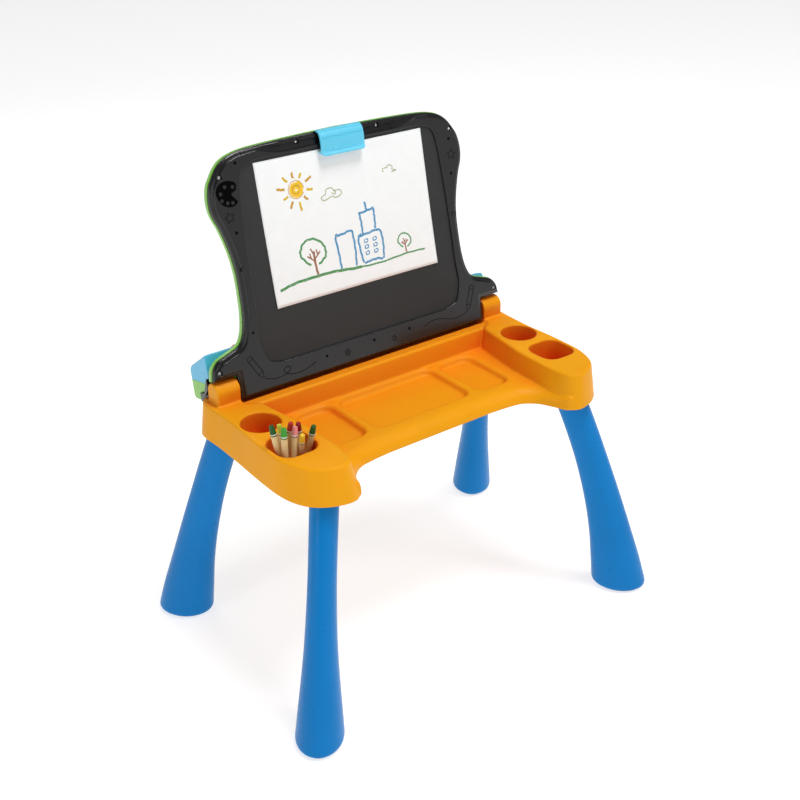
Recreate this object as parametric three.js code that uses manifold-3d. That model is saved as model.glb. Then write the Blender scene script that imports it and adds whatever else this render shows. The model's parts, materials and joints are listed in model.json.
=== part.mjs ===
// Children's activity desk: a tray desk on four flared legs, with a flip-up electronic lid.
// The lid's inner face is a drawing board with a sprung paper clip. Its outer face carries a
// touch panel with an activity page and a console with keys, buttons, a display and a handset.
// Millimetres, +Z up, front (the child's side) towards -Y, origin on the floor under the centre.

import * as THREE from "three";
import { mergeVertices } from "three/addons/utils/BufferGeometryUtils.js";
import Module from "manifold-3d";

const wasm = await Module();
wasm.setup();

// ---------------------------------------------------------------- driving dimensions
const GAP = 0.3;

// Desk heights
const SKIRT_BOTTOM_Z = 342;
const TRAY_FLOOR_Z = 362;
const SHOULDER_Z = 395.5;
const RIM_STRIP_Z = 393;
const DESK_WALL = 3;
const DESK_REAR_Y = 131;

// Hinge line, shared by the desk tabs, the pins and the lid
const HINGE_Y = 105.8;
const HINGE_Z = 411.8;
const TAB_RADIUS = 15.3;
const TAB_INNER_X = 231;
const TAB_OUTER_X = 268;
const TROUGH_RADIUS = 25.6;
const PIN_RADIUS = 3;
const BORE_RADIUS = 3.35;

// Legs
const LEG_ANGLE = 50 * THREE.MathUtils.DEG2RAD;
const FRONT_LEG = { top: [228, -113.8], bend: [278.4, -168.1], foot: [300.5, -190] };
const REAR_LEG = { top: [249, 109], bend: [284, 165], foot: [303, 190.42] };
const LEG_TOP_Z = 344.7;
const PLUG_RADIUS = 15.3;
const SOCKET_RADIUS = 15.8;
const SOCKET_TOP_Z = 386;
const PAD_THICKNESS = 3;

// Cups in the shoulders
const ROUND_CUP = { x: 242.5, y: 19.7, radius: 29, floorRadius: 25.5 };
const SQUARE_CUP = { x: 241, y: -57, half: 31, floorHalf: 27.5, corner: 21 };
const CUP_FLOOR_Z = 347;
const CUP_WALL = 2.4;

// Lid: the pose of its front face, which leans back, and its layers behind that face
const LID_Y = 90;
const LID_Z = 410.54;
const LID_LEAN = 12.677 * THREE.MathUtils.DEG2RAD;
const FRAME_DEPTH = 10;
const LID_DEPTH = 32;
const FRAME_PLATE = 2.5;
const SHELL_FLOOR = 2.5;
const LID_BOTTOM_S = -13;
const EAR_BOTTOM_S = 23;
const NOTCH_X = 229.5;
const HINGE_S = 4.7;
const HINGE_T = 15.14;

// Paper, board and clip
const BOARD_T = 2.8;
const BOARD_THICKNESS = 2.5;
const BOARD_LIP = 2.5;
const PAPER_WIDTH = 297;
const PAPER_HEIGHT = 210;
const PAPER_BOTTOM_S = 101;
const CLIP_HALF_WIDTH = 38;
const CLIP_PIN_S = 328;
const CLIP_PIN_T = 2.2;

// Console behind the lower edge of the lid
const CONSOLE_HALF_LENGTH = 262;
const CONSOLE_SPLIT_S = 13;
const CONSOLE_FRONT_T = 32.3;
const FACE_LOW = [54.5, 46];
const FACE_HIGH = [37, 81];
const KEY_COUNT = 5;
const KEY_PITCH = 22;
const KEY_FIRST_X = -196;

// ---------------------------------------------------------------- materials
function plastic(color, roughness, metalness = 0) {
  return new THREE.MeshStandardMaterial({ color, roughness, metalness });
}

const ORANGE = () => plastic(0xf7a520, 0.42);
const BLUE = () => plastic(0x1c7dc8, 0.38);
const BLACK = () => plastic(0x262628, 0.35);
const BOARD_GREY = () => plastic(0x323130, 0.8);
const GREEN = () => plastic(0x82c850, 0.35);
const SKY = () => plastic(0x62c4e6, 0.32);
const WHITE = () => plastic(0xf7f7f7, 0.8);
const STEEL = () => plastic(0xb8bcc0, 0.3, 1);
const RUBBER = () => plastic(0x3a3f45, 0.9);

// ---------------------------------------------------------------- outlines
function arc(cx, cy, radius, from, to, steps) {
  const points = [];
  for (let i = 0; i <= steps; i += 1) {
    const angle = THREE.MathUtils.degToRad(from + ((to - from) * i) / steps);
    points.push([cx + radius * Math.cos(angle), cy + radius * Math.sin(angle)]);
  }
  return points;
}

function circle(cx, cy, radius, steps) {
  return arc(cx, cy, radius, 0, 360, steps).slice(0, steps);
}

function roundedBox(x0, x1, y0, y1, corner, steps) {
  return [
    ...arc(x1 - corner, y0 + corner, corner, -90, 0, steps),
    ...arc(x1 - corner, y1 - corner, corner, 0, 90, steps),
    ...arc(x0 + corner, y1 - corner, corner, 90, 180, steps),
    ...arc(x0 + corner, y0 + corner, corner, 180, 270, steps),
  ];
}

function spline(points, steps, closed) {
  const path = points.map(([x, y]) => new THREE.Vector3(x, y, 0));
  const sampled = new THREE.CatmullRomCurve3(path, closed, "centripetal").getPoints(steps);
  if (closed) sampled.pop();
  return sampled.map((point) => [point.x, point.y]);
}

function mirrored(outline) {
  return outline.map(([x, y]) => [-x, y]).reverse();
}

function signedArea(outline) {
  return THREE.ShapeUtils.area(outline.map(([x, y]) => new THREE.Vector2(x, y)));
}

// Moves each point of a counter-clockwise outline outwards by a distance.
function grown(outline, distance) {
  const count = outline.length;
  return outline.map(([x, y], i) => {
    const before = outline[(i + count - 1) % count];
    const after = outline[(i + 1) % count];
    const a = new THREE.Vector2(y - before[1], before[0] - x).normalize();
    const b = new THREE.Vector2(after[1] - y, x - after[0]).normalize();
    const reach = distance / Math.max(1 + a.dot(b), 0.5);
    return [x + (a.x + b.x) * reach, y + (a.y + b.y) * reach];
  });
}

// ---------------------------------------------------------------- solids
// Joins rings of equal point count, each { outline, z }, and closes both ends.
function loft(rings) {
  const turned = signedArea(rings[0].outline) < 0;
  const outlines = rings.map(({ outline }) => (turned ? [...outline].reverse() : outline));
  const count = outlines[0].length;
  const positions = [];
  outlines.forEach((outline, i) => outline.forEach(([x, y]) => positions.push(x, y, rings[i].z)));
  const indices = [];
  for (let ring = 0; ring + 1 < rings.length; ring += 1) {
    for (let i = 0; i < count; i += 1) {
      const a = ring * count + i;
      const b = ring * count + ((i + 1) % count);
      indices.push(a, b, b + count);
      indices.push(a, b + count, a + count);
    }
  }
  const cap = (outline, first, flip) => {
    const contour = outline.map(([x, y]) => new THREE.Vector2(x, y));
    for (const [a, b, c] of THREE.ShapeUtils.triangulateShape(contour, [])) {
      indices.push(first + a, first + (flip ? c : b), first + (flip ? b : c));
    }
  };
  cap(outlines[0], 0, true);
  cap(outlines[outlines.length - 1], (outlines.length - 1) * count, false);
  const geometry = new THREE.BufferGeometry();
  geometry.setAttribute("position", new THREE.Float32BufferAttribute(positions, 3));
  geometry.setIndex(indices);
  return geometry;
}

function prism(outline, z0, z1) {
  return loft([{ outline, z: z0 }, { outline, z: z1 }]);
}

// Turns a solid built along Z so that it runs along X, its outline lying in (y, z).
function alongX(geometry) {
  const basis = new THREE.Matrix4().makeBasis(
    new THREE.Vector3(0, 1, 0),
    new THREE.Vector3(0, 0, 1),
    new THREE.Vector3(1, 0, 0),
  );
  return geometry.applyMatrix4(basis);
}

function block(x0, x1, y0, y1, z0, z1) {
  const geometry = new THREE.BoxGeometry(x1 - x0, y1 - y0, z1 - z0);
  return geometry.translate((x0 + x1) / 2, (y0 + y1) / 2, (z0 + z1) / 2);
}

function rod(x, y, z0, z1, radius, steps) {
  return prism(circle(x, y, radius, steps), z0, z1);
}

function crossRod(y, z, x0, x1, radius, steps) {
  return alongX(prism(circle(y, z, radius, steps), x0, x1));
}

function welded(geometry) {
  const bare = geometry.clone();
  bare.deleteAttribute("normal");
  bare.deleteAttribute("uv");
  return mergeVertices(bare, 1e-4);
}

function solid(geometry) {
  const bare = welded(geometry);
  return new wasm.Manifold(
    new wasm.Mesh({
      numProp: 3,
      vertProperties: new Float32Array(bare.attributes.position.array),
      triVerts: new Uint32Array(bare.index.array),
    }),
  );
}

function join(body, ...geometries) {
  return geometries.reduce((sum, geometry) => sum.add(solid(geometry)), body);
}

function cut(body, ...geometries) {
  return geometries.reduce((sum, geometry) => sum.subtract(solid(geometry)), body);
}

function surface(body) {
  const { vertProperties, triVerts } = body.getMesh();
  const geometry = new THREE.BufferGeometry();
  geometry.setAttribute("position", new THREE.Float32BufferAttribute(vertProperties, 3));
  geometry.setIndex([...triVerts]);
  return geometry;
}

function part(group, name, shape, material) {
  const geometry = shape.isBufferGeometry ? welded(shape) : surface(shape);
  geometry.computeVertexNormals();
  const mesh = new THREE.Mesh(geometry, material);
  mesh.name = name;
  group.add(mesh);
  return mesh;
}

// ---------------------------------------------------------------- desk
const SHOULDER_TOP = [
  [232, 131], [232, 92], [226, 78], [212, 69], [207, 45], [202, 10], [197, -23], [195, -67],
  [195, -108], [201, -137], [216, -147], [232, -144], [250, -135], [262, -123], [271, -104],
  [277, -80], [278, -54], [277.5, -15], [275, 34], [276, 76], [277, 119], [269, 131],
];
const SHOULDER_BASE = [
  [220, 136], [219, 90], [212, 76], [199, 62], [193, 40], [188, 8], [184, -23], [182, -67],
  [182, -110], [192, -145], [207, -157], [234, -153], [254, -142], [267, -129], [277, -108],
  [282, -82], [283, -54], [282.5, -15], [281, 34], [281, 76], [281.5, 123], [272, 136],
];
const SHOULDER_STEPS = 44;
// Front edge of the middle, from near the centre into the shoulder: foot (x, y), roll (x, y).
const VALANCE = [
  [95, -84.5, 0, 24], [127, -87, 7, 22], [152, -92, 14, 18], [170, -106, 17, 12], [182, -127, 12, 4],
  [193, -149, 4, 0.5], [205, -150, 0, 0.5],
];
// The roll's quarter round: share of the roll, height.
const ROLL = [[0, 342], [0.14, 352], [0.36, 357.5], [0.67, 361], [1, TRAY_FLOOR_Z]];

function shoulderRing(z, inset) {
  const height = (z - SKIRT_BOTTOM_Z) / (SHOULDER_Z - SKIRT_BOTTOM_Z);
  const keys = SHOULDER_TOP.map(([x, y], i) => {
    const [baseX, baseY] = SHOULDER_BASE[i];
    return [baseX + (x - baseX) * height, baseY + (y - baseY) * height];
  });
  return { outline: grown(spline(keys, SHOULDER_STEPS, true), -inset), z };
}

function shoulderBody() {
  return loft([shoulderRing(SKIRT_BOTTOM_Z, 0), shoulderRing(392.8, 0), shoulderRing(394.8, 0.8), shoulderRing(SHOULDER_Z, 2.8)]);
}

function shoulderCavity() {
  const low = shoulderRing(SKIRT_BOTTOM_Z, DESK_WALL);
  return loft([{ outline: low.outline, z: SKIRT_BOTTOM_Z - 1 }, shoulderRing(SHOULDER_Z - DESK_WALL, DESK_WALL)]);
}

// The middle of the desk: its front edge rolls down from the tray floor into the valance.
function middleOutline(share, rearY) {
  const keys = VALANCE.map(([x, y, rollX, rollY]) => [x + share * rollX, y + share * rollY]);
  const half = spline(keys, 14, false);
  return [...mirrored(half), ...half, [205, rearY], [-205, rearY]];
}

function middleBody() {
  return loft(ROLL.map(([share, z]) => ({ outline: middleOutline(share, 100), z })));
}

function middleCavity() {
  const rings = ROLL.map(([share, z]) => ({ outline: grown(middleOutline(share, 75), -DESK_WALL), z: z - DESK_WALL }));
  return loft([{ outline: rings[0].outline, z: SKIRT_BOTTOM_Z - 4 }, ...rings]);
}

// The rear beam carries the rim strip and the trough that the lid's lower edge turns in.
function rearBeam() {
  const profile = [[64, 345], [66, 362], [72, 391.5], [74, RIM_STRIP_Z], [DESK_REAR_Y, RIM_STRIP_Z], [136, SKIRT_BOTTOM_Z], [64, SKIRT_BOTTOM_Z]];
  return alongX(prism(profile, -234, 234));
}

function rearBeamCavity() {
  const profile = [[75, 340], [76, 362], [79, 381], [128, 381], [132.5, 340]];
  return alongX(prism(profile, -216, 216));
}

function trough() {
  const low = HINGE_Z - TROUGH_RADIUS;
  const profile = [
    [HINGE_Y - TROUGH_RADIUS, HINGE_Z],
    ...arc(HINGE_Y, HINGE_Z, TROUGH_RADIUS, 190, 270, 8),
    [DESK_REAR_Y + 9, low],
    [DESK_REAR_Y + 9, HINGE_Z],
  ];
  return alongX(prism(profile, -TAB_INNER_X + 0.5, TAB_INNER_X - 0.5));
}

function hingeTab(side) {
  const profile = [
    [HINGE_Y - TAB_RADIUS, 392],
    [HINGE_Y + TAB_RADIUS, 392],
    ...arc(HINGE_Y, HINGE_Z, TAB_RADIUS, 0, 180, 12),
  ];
  const x0 = side > 0 ? TAB_INNER_X : -TAB_OUTER_X;
  return alongX(prism(profile, x0, x0 + TAB_OUTER_X - TAB_INNER_X));
}

function cupSolid(outlineAt, floorZ, topZ, wall) {
  return loft([{ outline: grown(outlineAt(0), wall), z: floorZ }, { outline: grown(outlineAt(1), wall), z: topZ }]);
}

function roundCupOutline(side) {
  return (height) => {
    const radius = THREE.MathUtils.lerp(ROUND_CUP.floorRadius, ROUND_CUP.radius, height);
    return circle(side * ROUND_CUP.x, ROUND_CUP.y, radius, 24);
  };
}

function squareCupOutline(side) {
  return (height) => {
    const half = THREE.MathUtils.lerp(SQUARE_CUP.floorHalf, SQUARE_CUP.half, height);
    const x = side * SQUARE_CUP.x;
    return roundedBox(x - half, x + half, SQUARE_CUP.y - half, SQUARE_CUP.y + half, SQUARE_CUP.corner, 4);
  };
}

const POCKETS = [
  { x0: -90, x1: 90, y0: -46, y1: 62 },
  { x0: 103, x1: 168, y0: -48, y1: 60 },
  { x0: -168, x1: -103, y0: -48, y1: 60 },
];
const POCKET_FLOOR_Z = 353;

function pocketSolid({ x0, x1, y0, y1 }, grow, floorZ, topZ) {
  const low = roundedBox(x0 + 4 - grow, x1 - 4 + grow, y0 + 4 - grow, y1 - 4 + grow, 14, 3);
  const high = roundedBox(x0 - grow, x1 + grow, y0 - grow, y1 + grow, 18, 3);
  return loft([{ outline: low, z: floorZ }, { outline: high, z: topZ }]);
}

function deskTop() {
  let body = solid(shoulderBody());
  body = body.add(solid(shoulderBody()).mirror([1, 0, 0]));
  body = join(body, middleBody(), rearBeam());
  body = cut(body, middleCavity(), rearBeamCavity());
  const cavity = solid(shoulderCavity());
  body = body.subtract(cavity).subtract(cavity.mirror([1, 0, 0]));
  const sockets = [];
  for (const side of [1, -1]) {
    body = join(
      body,
      cupSolid(roundCupOutline(side), CUP_FLOOR_Z - CUP_WALL, SHOULDER_Z - 1, CUP_WALL),
      cupSolid(squareCupOutline(side), CUP_FLOOR_Z - CUP_WALL, SHOULDER_Z - 1, CUP_WALL),
      hingeTab(side),
    );
    for (const { top } of [FRONT_LEG, REAR_LEG]) {
      body = join(body, rod(side * top[0], top[1], LEG_TOP_Z + GAP, SHOULDER_Z - 2, 20, 16));
      sockets.push(rod(side * top[0], top[1], SKIRT_BOTTOM_Z, SOCKET_TOP_Z, SOCKET_RADIUS, 16));
    }
  }
  for (const pocket of POCKETS) {
    body = join(body, pocketSolid(pocket, DESK_WALL, POCKET_FLOOR_Z - DESK_WALL, TRAY_FLOOR_Z - 1));
  }
  body = cut(body, trough(), ...sockets);
  for (const pocket of POCKETS) {
    body = cut(body, pocketSolid(pocket, 0, POCKET_FLOOR_Z, TRAY_FLOOR_Z + 0.5));
  }
  for (const side of [1, -1]) {
    body = cut(
      body,
      cupSolid(roundCupOutline(side), CUP_FLOOR_Z, SHOULDER_Z + 0.5, 0),
      cupSolid(squareCupOutline(side), CUP_FLOOR_Z, SHOULDER_Z + 0.5, 0),
      crossRod(HINGE_Y, HINGE_Z, side > 0 ? 225 : -263.5, side > 0 ? 263.5 : -225, BORE_RADIUS, 12),
    );
  }
  return body;
}

// ---------------------------------------------------------------- legs
// Each station: height, tangential diameter, radial diameter.
const LEG_STATIONS = [
  [PAD_THICKNESS + GAP, 61, 79], [4.4, 66, 84.5], [8, 69, 87.5], [22, 67, 85.5], [50, 62, 80.5],
  [88, 55, 72], [130, 48, 64.5], [172, 43.5, 59], [230, 40, 53.5], [285, 40, 51.5], [LEG_TOP_Z, 41, 51],
];
const LEG_SIDES = 18;
const LEG_WALL = 3;

function legRing({ top, bend, foot }, side, z, tangential, radial, centreZ = z) {
  const curve = new THREE.QuadraticBezierCurve(
    new THREE.Vector2(...foot), new THREE.Vector2(...bend), new THREE.Vector2(...top),
  );
  const centre = curve.getPoint(THREE.MathUtils.clamp(centreZ / LEG_TOP_Z, 0, 1));
  const angle = Math.sign(foot[1]) * LEG_ANGLE;
  const outline = circle(0, 0, 1, LEG_SIDES).map(([a, b]) => {
    const along = (a * radial) / 2;
    const across = (b * tangential) / 2;
    const x = centre.x + along * Math.cos(angle) - across * Math.sin(angle);
    const y = centre.y + along * Math.sin(angle) + across * Math.cos(angle);
    return [side * x, y];
  });
  return { outline, z };
}

function leg(shape, side) {
  const ring = (z, tangential, radial, centreZ) => legRing(shape, side, z, tangential, radial, centreZ);
  const plug = 2 * PLUG_RADIUS;
  const outside = LEG_STATIONS.map(([z, tangential, radial]) => ring(z, tangential, radial));
  const plugRings = [ring(LEG_TOP_Z, plug, plug), ring(SOCKET_TOP_Z - 6, plug, plug, LEG_TOP_Z)];
  const bore = plug - 2 * LEG_WALL;
  const inside = [ring(SOCKET_TOP_Z - 6, bore, bore, LEG_TOP_Z), ring(LEG_TOP_Z - 4, bore, bore)];
  for (const [z, tangential, radial] of [...LEG_STATIONS].reverse().slice(2, 8).filter((_, i) => i % 2 === 0)) {
    inside.push(ring(z, tangential - 2 * LEG_WALL, radial - 2 * LEG_WALL));
  }
  inside.push(ring(LEG_WALL + PAD_THICKNESS + 3, 58, 76));
  return loft([...outside, ...plugRings, ...inside]);
}

function footPad(shape, side) {
  return loft([legRing(shape, side, 0, 58, 76), legRing(shape, side, PAD_THICKNESS, 59, 77, 0)]);
}

// ---------------------------------------------------------------- crayons
// Each crayon: foot (x, y) and cap end (x, y), measured from the cup's centre, and length.
const CRAYON_RADIUS = 4.7;
const CRAYONS = [
  { foot: [-16, -5.8], tip: [-26.1, 8], length: 82, color: 0x2f7d32 },
  { foot: [-4.4, 5.8], tip: [-9, 15.4], length: 73.8, color: 0xc8d63a },
  { foot: [-19.8, -15], tip: [-15.3, -6.2], length: 80, color: 0x46a83c },
  { foot: [1.2, 22.3], tip: [4, 5.5], length: 77.4, color: 0xc8302c },
  { foot: [-9.6, -13.5], tip: [4, -4.6], length: 76.8, color: 0xe88a94 },
  { foot: [20, 14.7], tip: [12.4, 0.7], length: 76, color: 0xb52a30 },
  { foot: [9.4, 0.6], tip: [6.9, -17.8], length: 68.6, color: 0xe8c23a },
  { foot: [22.1, 5], tip: [27.8, -14.3], length: 74, color: 0x1f6a34 },
];

function crayon({ foot, tip, length }) {
  const r = CRAYON_RADIUS;
  const profile = [
    [0, 0], [r - 0.6, 0], [r, 1.2], [r, length - 15], [2.8, length], [0, length],
  ];
  const geometry = new THREE.LatheGeometry(profile.map(([x, y]) => new THREE.Vector2(x, y)), 10);
  const base = new THREE.Vector3(-SQUARE_CUP.x + foot[0], SQUARE_CUP.y + foot[1], CUP_FLOOR_Z + 1.5);
  const lean = new THREE.Vector3(tip[0] - foot[0], tip[1] - foot[1], length).normalize();
  const turn = new THREE.Quaternion().setFromUnitVectors(new THREE.Vector3(0, 1, 0), lean);
  return geometry.applyQuaternion(turn).translate(base.x, base.y, base.z);
}

// ---------------------------------------------------------------- lid outlines
// Lid coordinates: x across, s up the face, t into the lid. The mesh space is (x, s, -t).
const LID_EDGE = [
  [268, 25], [265, 38], [256, 49], [240, 55], [217, 64], [208, 79], [203, 102], [201, 132], [201, 165],
  [204, 190], [209, 212], [215, 232], [222, 250], [224, 268], [220, 290], [213, 302], [203, 315],
  [191, 324], [173, 330], [150, 333], [100, 335], [0, 337],
];

function lidOutline(grow) {
  const edge = spline(LID_EDGE, 30, false);
  const moved = grow === 0 ? edge : grown([...edge, ...mirrored(edge).slice(1)], grow).slice(0, edge.length);
  moved[0] = [edge[0][0] + grow, edge[0][1]];
  moved[moved.length - 1] = [0, edge[edge.length - 1][1] + grow];
  const notchX = NOTCH_X + Math.min(grow, 0);
  const bottom = LID_BOTTOM_S - Math.min(grow, 0);
  const ear = EAR_BOTTOM_S - Math.min(grow, 0);
  const raised = moved.map(([x, y], i) => [x, Math.max(y, ear + 0.1 * i)]);
  const half = [[notchX, bottom], [notchX, ear], [268 + grow, ear], ...raised.slice(1)];
  return [...half, ...mirrored(half).slice(1)];
}

function lidRing(z, grow) {
  return { outline: lidOutline(grow), z };
}

const BOARD_OPENING = [
  [152, 24], [176, 32], [186, 58], [186, 72], [184, 95], [183, 140], [181, 200], [178, 250], [175.5, 280], [168, 305], [146, 315],
];

function boardOutline(grow) {
  const half = spline(BOARD_OPENING, 20, false);
  return grown([...half, ...mirrored(half)], grow);
}

const SCREWS = [[204, 301], [192, 170], [257.6, 34], [71, 328]];

function lidScrewSpots() {
  return SCREWS.flatMap(([x, s]) => [[x, s], [-x, s]]);
}

// ---------------------------------------------------------------- lid front frame
function stripWedge() {
  const profile = [[317.5, 0.5], [340.5, -9], [345, 12], [317.5, 12]];
  return alongX(prism(profile, -160, 160));
}

function clipWell() {
  return block(-CLIP_HALF_WIDTH - 1.5, CLIP_HALF_WIDTH + 1.5, 320, 345, -8.6, 12);
}

function clipLug(x0, x1) {
  const profile = [
    [CLIP_PIN_S - 4, -9], [CLIP_PIN_S + 4, -9], ...arc(CLIP_PIN_S, -CLIP_PIN_T, 3, 0, 180, 8),
  ];
  return alongX(prism(profile, x0, x1));
}

function frontFrame() {
  const shellRings = [
    lidRing(-FRAME_DEPTH, 0), lidRing(-3.2, 0), lidRing(-0.9, -1.2), lidRing(0, -3.6),
  ];
  let body = solid(loft(shellRings));
  body = cut(body, prism(lidOutline(-2.6), -FRAME_DEPTH - 1, -FRAME_PLATE));
  body = join(body, block(-164, 164, 318.4, 334, -FRAME_DEPTH, -1));
  body = cut(body, stripWedge(), clipWell());
  body = join(body, clipLug(-27, -22), clipLug(22, 27));
  for (const [x, s] of lidScrewSpots()) {
    body = join(body, rod(x, s, -FRAME_DEPTH, -1.2, 5, 8));
  }
  body = cut(body, prism(boardOutline(0), -FRAME_DEPTH - 1, 1));
  for (const [x, s] of lidScrewSpots()) {
    const headZ = s > 320 ? -8.2 : -4.2;
    body = cut(body, rod(x, s, headZ, 1, 3.7, 10), rod(x, s, -FRAME_DEPTH - 1, headZ + 1, 1.9, 6));
  }
  return cut(body, crossRod(CLIP_PIN_S, -CLIP_PIN_T, -40, 40, 1.8, 10));
}

function drawingBoard() {
  return prism(boardOutline(BOARD_LIP), -BOARD_T - BOARD_THICKNESS, -BOARD_T);
}

function paperSheet() {
  const half = PAPER_WIDTH / 2;
  return block(-half, half, PAPER_BOTTOM_S, PAPER_BOTTOM_S + PAPER_HEIGHT, -BOARD_T + 0.3, -BOARD_T + 0.65);
}

function lidScrew(x, s) {
  const headZ = s > 320 ? -8.2 : -4.2;
  const profile = [
    [0, headZ - 19], [1.5, headZ - 16], [1.5, headZ + 0.2], [3.3, headZ + 0.2], [3.3, headZ + 1.2], [2.2, headZ + 2.2], [0, headZ + 2.2],
  ];
  const geometry = new THREE.LatheGeometry(profile.map(([r, z]) => new THREE.Vector2(r, z)), 8);
  return geometry.rotateX(Math.PI / 2).translate(x, s, 0);
}

// ---------------------------------------------------------------- paper clip
function paperClip() {
  const outer = [[300, 7.5], [301.5, 7.8], [306.5, 5.8], [321, 6.6], [328, 6.4], [333.5, 4.6], [337, 1], [338.2, -4.8]];
  const inner = [[335.8, -4.8], [334.8, 0], [332, 2.4], [327, 3.9], [321, 4.1], [309, 3.3], [307.5, -1.8], [304.5, -1.8], [303.5, 4.4], [300, 5.3]];
  let body = solid(alongX(prism([...outer, ...inner], -CLIP_HALF_WIDTH, CLIP_HALF_WIDTH)));
  for (const side of [-1, 1]) {
    const profile = [[CLIP_PIN_S - 3, 5], ...arc(CLIP_PIN_S, -CLIP_PIN_T, 3, 180, 360, 8), [CLIP_PIN_S + 3, 5]];
    const x0 = side > 0 ? 28 : -31.5;
    body = join(body, alongX(prism(profile, x0, x0 + 3.5)));
  }
  return cut(body, crossRod(CLIP_PIN_S, -CLIP_PIN_T, -40, 40, 1.8, 10));
}

function clipSpring() {
  const points = [];
  const turns = 4;
  const perTurn = 8;
  for (let i = 0; i <= turns * perTurn; i += 1) {
    const angle = (2 * Math.PI * i) / perTurn;
    const x = -6 + (12 * i) / (turns * perTurn);
    points.push(new THREE.Vector3(x, CLIP_PIN_S + 2.9 * Math.cos(angle), -CLIP_PIN_T + 2.9 * Math.sin(angle)));
  }
  const path = new THREE.CatmullRomCurve3(points);
  const section = new THREE.Shape(circle(0, 0, 0.55, 5).map(([x, y]) => new THREE.Vector2(x, y)));
  return new THREE.ExtrudeGeometry(section, { steps: turns * perTurn, extrudePath: path, bevelEnabled: false });
}

// ---------------------------------------------------------------- lid back shell
const PANEL_OPENING = { x: 165, s0: 86, s1: 306 };

function backShell() {
  const rings = [
    lidRing(-LID_DEPTH, -7), lidRing(-LID_DEPTH + 1.6, -2.4), lidRing(-LID_DEPTH + 7, 0.6), lidRing(-FRAME_DEPTH - GAP, 1.2),
    lidRing(-FRAME_DEPTH - GAP, -1.6), lidRing(-LID_DEPTH + 6, -3), lidRing(-LID_DEPTH + SHELL_FLOOR, -9),
  ];
  let body = solid(loft(rings));
  for (const side of [1, -1]) {
    const x0 = side > 0 ? 208 : -NOTCH_X;
    body = join(body, block(x0, x0 + NOTCH_X - 208, -9, 17, -LID_DEPTH + 2, -FRAME_DEPTH - 0.8));
  }
  for (const [x, s] of lidScrewSpots()) {
    body = join(body, rod(x, s, -LID_DEPTH + 2, -FRAME_DEPTH - 0.6, 4, 8));
  }
  const opening = roundedBox(-PANEL_OPENING.x, PANEL_OPENING.x, PANEL_OPENING.s0, PANEL_OPENING.s1, 14, 3);
  body = cut(body, prism(opening, -LID_DEPTH - 1, -LID_DEPTH + SHELL_FLOOR + 1));
  for (const [x, s] of lidScrewSpots()) {
    body = cut(body, rod(x, s, -LID_DEPTH + 3, -FRAME_DEPTH, 1.9, 6));
  }
  for (const side of [1, -1]) {
    const x0 = side > 0 ? 211.5 : -235;
    body = cut(body, crossRod(HINGE_S, -HINGE_T, x0, x0 + 23.5, BORE_RADIUS, 12));
  }
  return body;
}

function touchPanel() {
  const { x, s0, s1 } = PANEL_OPENING;
  const z = -LID_DEPTH + SHELL_FLOOR + GAP;
  return prism(roundedBox(-x - 5, x + 5, s0 - 5, s1 + 5, 14, 3), z, z + 2.5);
}

function activityPage() {
  const { x, s0, s1 } = PANEL_OPENING;
  const z = -LID_DEPTH + SHELL_FLOOR;
  return prism(roundedBox(-x + 3, x - 3, s0 + 3, s1 - 3, 12, 3), z - 0.4, z);
}

// ---------------------------------------------------------------- console
// Profiles are listed as (s, t).
function asProfile(points) {
  return points.map(([s, t]) => [s, -t]);
}

const COVER_PROFILE = [
  [CONSOLE_SPLIT_S + GAP, 88], [26, 86.8], [32.5, 84.6], FACE_HIGH, FACE_LOW, [56, 41.5], [56.2, 37], [56.2, CONSOLE_FRONT_T],
  [22.7, CONSOLE_FRONT_T], [22.7, 35.2], [CONSOLE_SPLIT_S + GAP, 41],
];
const COVER_CAVITY = [
  [CONSOLE_SPLIT_S - 3, 85.4], [25.5, 84.3], [31, 82.4], [35, 79.5], [52.3, 44.9], [53.6, 41], [53.7, 36.6], [53.7, CONSOLE_FRONT_T - 2],
  [25, CONSOLE_FRONT_T - 2], [25, 36.5], [CONSOLE_SPLIT_S - 3, 44.5],
];
const BASE_PROFILE = [
  [CONSOLE_SPLIT_S, 88], [-12, 89], [-16, 85], [-16, 61.4], [-1.6, 61.4], [-1.6, 48.4], [CONSOLE_SPLIT_S, 40.6],
];
const BASE_CAVITY = [
  [CONSOLE_SPLIT_S + 3, 85.4], [-11.2, 86.4], [-13.5, 84], [-13.5, 63.9], [0.9, 63.9], [0.9, 50], [CONSOLE_SPLIT_S + 3, 42],
];

// The console's cover falls away towards both ends.
const COVER_FOOT_S = 25.6;
const END_WALL_X = 196;
const COVER_ENDS = [[262, 0.9], [260.8, 0.95], [258, 0.985], [252, 1]];

function coverBody(profile, trim) {
  const ring = ([x, height], side) => {
    const lowered = (s) => (s > COVER_FOOT_S ? CONSOLE_SPLIT_S + (s - CONSOLE_SPLIT_S) * height : s);
    const outline = profile.map(([s, t]) => [lowered(s), t]);
    return { outline: asProfile(outline), z: side * (x - trim) };
  };
  const left = COVER_ENDS.map((end) => ring(end, -1));
  const right = [...COVER_ENDS].reverse().map((end) => ring(end, 1));
  return alongX(loft([...left, ...right]));
}

// A frame on the console's sloped face: x across, y up the slope, z out of the face.
function faceFrame() {
  const frame = new THREE.Object3D();
  const slope = new THREE.Vector2(FACE_HIGH[0] - FACE_LOW[0], FACE_HIGH[1] - FACE_LOW[1]).normalize();
  frame.position.set(0, (FACE_LOW[0] + FACE_HIGH[0]) / 2, -(FACE_LOW[1] + FACE_HIGH[1]) / 2);
  frame.rotation.x = Math.atan2(-slope.y, slope.x);
  return frame;
}

function onFace(geometry) {
  const frame = faceFrame();
  frame.updateMatrix();
  return geometry.applyMatrix4(frame.matrix);
}

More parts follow.
